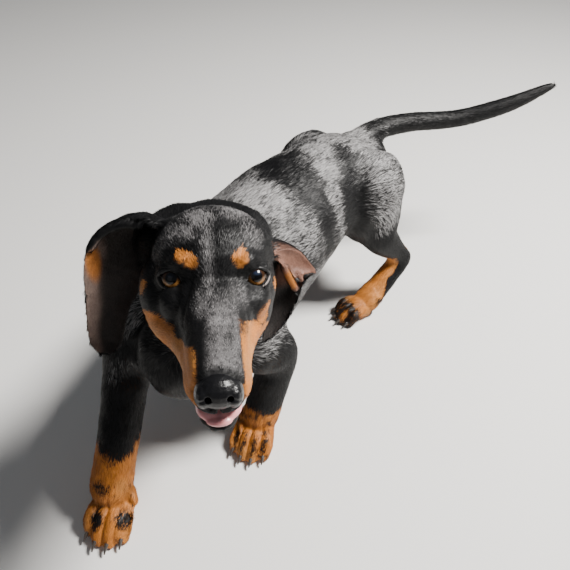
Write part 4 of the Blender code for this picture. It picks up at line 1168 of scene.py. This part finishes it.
def make_tongue():
    verts, tris = refined("tongue", 0.0006, 8)
    h = to_head(verts)
    normals = vertex_normals(verts, tris)
    up = (normals @ HEAD_AXES)[:, 2] > 0.2
    groove = np.exp(-((h[:, 0] / 0.0012) ** 2)) * up
    verts = verts - normals * (0.0003 * groove)[:, None]
    obj = add_object("tongue_flesh", make_mesh("tongue_flesh", verts, tris))
    base = np.array([0.72, 0.285, 0.295]) * (1 + 0.08 * noise(h, 0.004, 61))[:, None]
    # The middle groove is also painted a little darker, as the shade in it
    base = base * (1 - 0.10 * groove[:, None])
    paint(obj.data, base)
    mat, tree, shader = material("tongue_flesh", (0.6, 0.25, 0.26), 0.36, Coat_Weight=0.35,
                                 Coat_Roughness=0.12, Subsurface_Weight=0.15, Subsurface_Scale=0.003)
    marks = add_node(tree, "ShaderNodeAttribute", attribute_name="MarkingsAndPaintedLight")
    place = add_node(tree, "ShaderNodeTexCoord")
    buds = add_node(tree, "ShaderNodeTexNoise", Scale=1500.0, Detail=2.0)
    tree.links.new(place.outputs["Object"], buds.inputs["Vector"])
    tree.links.new(marks.outputs["Color"], shader.inputs["Base Color"])
    bumped(tree, shader, buds.outputs["Fac"], 0.30, 0.0003)
    obj.data.materials.append(mat)
    dress(obj, "tongue", "tongue")


def horn(path, sides=14):
    """A tapered horn along a path of place, half width and half height."""
    fine = spline(path, 5)
    along = unit(np.gradient(fine[:, :3], axis=0))
    rows = []
    for (x, y, z, wide, high), way in zip(fine, along):
        right = unit(np.cross(way, (0, 0, 1)))
        up = np.cross(right, way)
        a = np.linspace(0, 2 * math.pi, sides, endpoint=False)
        ring = np.outer(np.cos(a) * wide, right) + np.outer(np.sin(a) * high, up)
        rows.append(ring + (x, y, z))
    return np.vstack(rows), rings_to_tris(len(rows), sides)


def make_claws(name):
    """The claws of one paw, each curved down to just above the floor."""
    verts, tris, base = [], [], 0
    paths = []
    for side, reach in TOES:
        path = []
        for t in (0.0, 0.35, 0.7, 1.0):
            radius = 0.0023 * (1.1 - 0.74 * t)
            high = 0.0050 + 0.0035 * (1 - 1.1 * t * t)
            path.append((side * 1.06 * (1 + 0.05 * t), -reach - 0.003 - 0.0078 * t, high,
                         radius * 0.80, radius))
        paths.append(path)
    if name.startswith("forepaw"):
        inward = -1 if name.endswith("left") else 1
        paths.append([(inward * 0.0190, -0.001, 0.0240, 0.0017, 0.0019),
                      (inward * 0.0193, -0.0045, 0.0218, 0.0013, 0.0015),
                      (inward * 0.0195, -0.0078, 0.0188, 0.0007, 0.0008)])
    for path in paths:
        v, t = horn(path)
        verts.append(from_paw(v, name))
        tris.append(t + base)
        base += len(v)
    piece = "claws_" + name
    obj = add_object(piece, make_mesh(piece, np.vstack(verts), np.vstack(tris)))
    if "claw" not in _materials:
        mat, tree, shader = material("claw_horn", (0.03, 0.026, 0.024), 0.30, Coat_Weight=0.2)
        place = add_node(tree, "ShaderNodeTexCoord")
        layers = add_node(tree, "ShaderNodeTexNoise", Scale=700.0, Detail=3.0)
        ramp_node = add_node(tree, "ShaderNodeValToRGB")
        ramp_node.color_ramp.elements[0].color = (0.012, 0.010, 0.010, 1)
        ramp_node.color_ramp.elements[1].color = (0.075, 0.060, 0.050, 1)
        tree.links.new(place.outputs["Object"], layers.inputs["Vector"])
        tree.links.new(layers.outputs["Fac"], ramp_node.inputs["Fac"])
        tree.links.new(ramp_node.outputs["Color"], shader.inputs["Base Color"])
        bumped(tree, shader, layers.outputs["Fac"], 0.2, 0.0003)
        _materials["claw"] = mat
    obj.data.materials.append(_materials["claw"])
    dress(obj, "nose_leather")


# Building

skin_verts, skin_tris, skin_labels = make_skin()
skin_normals = vertex_normals(skin_verts, skin_tris)
skin = add_object("skin", make_mesh("skin", skin_verts, skin_tris))
paint(skin.data, coat_colour(skin_verts, skin_normals, skin_labels) * 0.8)
skin.data.materials.append(skin_material())
dress(skin, "coat_black", *FLESH)

skin_way = flow_of(skin_verts, skin_tris, skin_normals, skin_labels)
places = unwrap_places(skin_verts, skin_tris)
skin_bend = bend_along(skin_verts, skin_tris, skin_normals, skin_way)
skin_data = (skin_verts, skin_tris, skin_normals, skin_way, skin_bend, skin_labels, places)
tri_label = skin_labels[skin_tris[:, 0]]
tri_y = skin_verts[skin_tris].mean(axis=1)[:, 1] - SHIFT[1]
on_torso = tri_label == LABEL["torso"]
COATS = (
    ("coat_face", "coat_black", is_one_of(tri_label, "head", "lower_jaw"), 98_000),
    ("coat_ears", "ear_skin", is_one_of(tri_label, "ear"), 80_000),
    ("coat_neck", "coat_black", is_one_of(tri_label, "neck") | (on_torso & (tri_y < -0.06)), 60_000),
    ("coat_back_front", "coat_dapple", on_torso & (tri_y >= -0.06) & (tri_y < 0.07), 92_000),
    ("coat_back_rear", "coat_dapple", on_torso & (tri_y >= 0.07), 80_000),
    ("coat_legs", "coat_dapple", is_one_of(tri_label, "foreleg", "hindleg"), 80_000),
    ("coat_paws", "coat_tan", is_one_of(tri_label, "forepaw", "hindpaw"), 48_000),
    ("coat_tail", "coat_black", tri_label == LABEL["tail"], 34_000),
)
for number, (name, slot, chosen, count) in enumerate(COATS):
    grow_coat(name, slot, skin_data, chosen, count, 100 + number)

skin_tree = tree_of(skin_verts, skin_tris)
make_eye("ball_left", 1)
make_eye("ball_right", -1)
make_lids("lids_left", 1, skin_tree)
make_lids("lids_right", -1, skin_tree)
make_nose()
make_tongue()
for paw in PAWS:
    make_claws(paw)

# The stage: a pale floor, soft light and the photograph's camera


def make_floor():
    size = 6.0
    verts = np.array([(-size, -size, 0), (size, -size, 0), (size, size, 0), (-size, size, 0)])
    floor = add_object("floor", make_mesh("floor", verts, np.array([[0, 1, 2, 3]])))
    mat, tree, shader = material("floor", (0.78, 0.775, 0.76), 0.85)
    floor.data.materials.append(mat)


def add_light(name, place, target, size, power, colour=(1, 1, 1)):
    light = bpy.data.lights.new(name, "AREA")
    light.size = size
    light.energy = power
    light.color = colour
    obj = bpy.data.objects.new(name, light)
    bpy.context.scene.collection.objects.link(obj)
    obj.location = place
    obj.rotation_mode = "QUATERNION"
    obj.rotation_quaternion = (Vector(target) - Vector(place)).to_track_quat("-Z", "Y")


# The camera stands here from the middle of the head, and looks down and to its left
CAMERA_FROM_HEAD = np.array([0.2215, -0.2100, 0.2480])
CAMERA_TURN, CAMERA_PITCH = 38.0, 40.0
FOCAL_PIXELS, FRAME_PIXELS, SENSOR = 611.0, 570.0, 36.0

make_floor()
add_light("key", (0.74, 0.48, 1.46), (0.0, -0.05, 0.15), 0.40, 84, (1.0, 0.97, 0.93))
add_light("fill", (0.3, -1.7, 1.2), (0.05, -0.1, 0.15), 1.6, 1.8, (0.95, 0.97, 1.0))
world = bpy.data.worlds.new("studio")
world.use_nodes = True
world.node_tree.nodes["Background"].inputs["Color"].default_value = (0.92, 0.95, 1.0, 1)
world.node_tree.nodes["Background"].inputs["Strength"].default_value = 0.13
bpy.context.scene.world = world

camera_data = bpy.data.cameras.new("camera")
camera_data.sensor_width = SENSOR
camera_data.lens = FOCAL_PIXELS / FRAME_PIXELS * SENSOR
camera_data.clip_start = 0.01
camera = bpy.data.objects.new("camera", camera_data)
bpy.context.scene.collection.objects.link(camera)
camera.location = Vector(HEAD_AT + CAMERA_FROM_HEAD)
turned, pitched = math.radians(CAMERA_TURN), math.radians(CAMERA_PITCH)
looking = Vector((-math.sin(turned) * math.cos(pitched), math.cos(turned) * math.cos(pitched),
                  -math.sin(pitched)))
camera.rotation_mode = "QUATERNION"
camera.rotation_quaternion = looking.to_track_quat("-Z", "Y")
bpy.context.scene.camera = camera
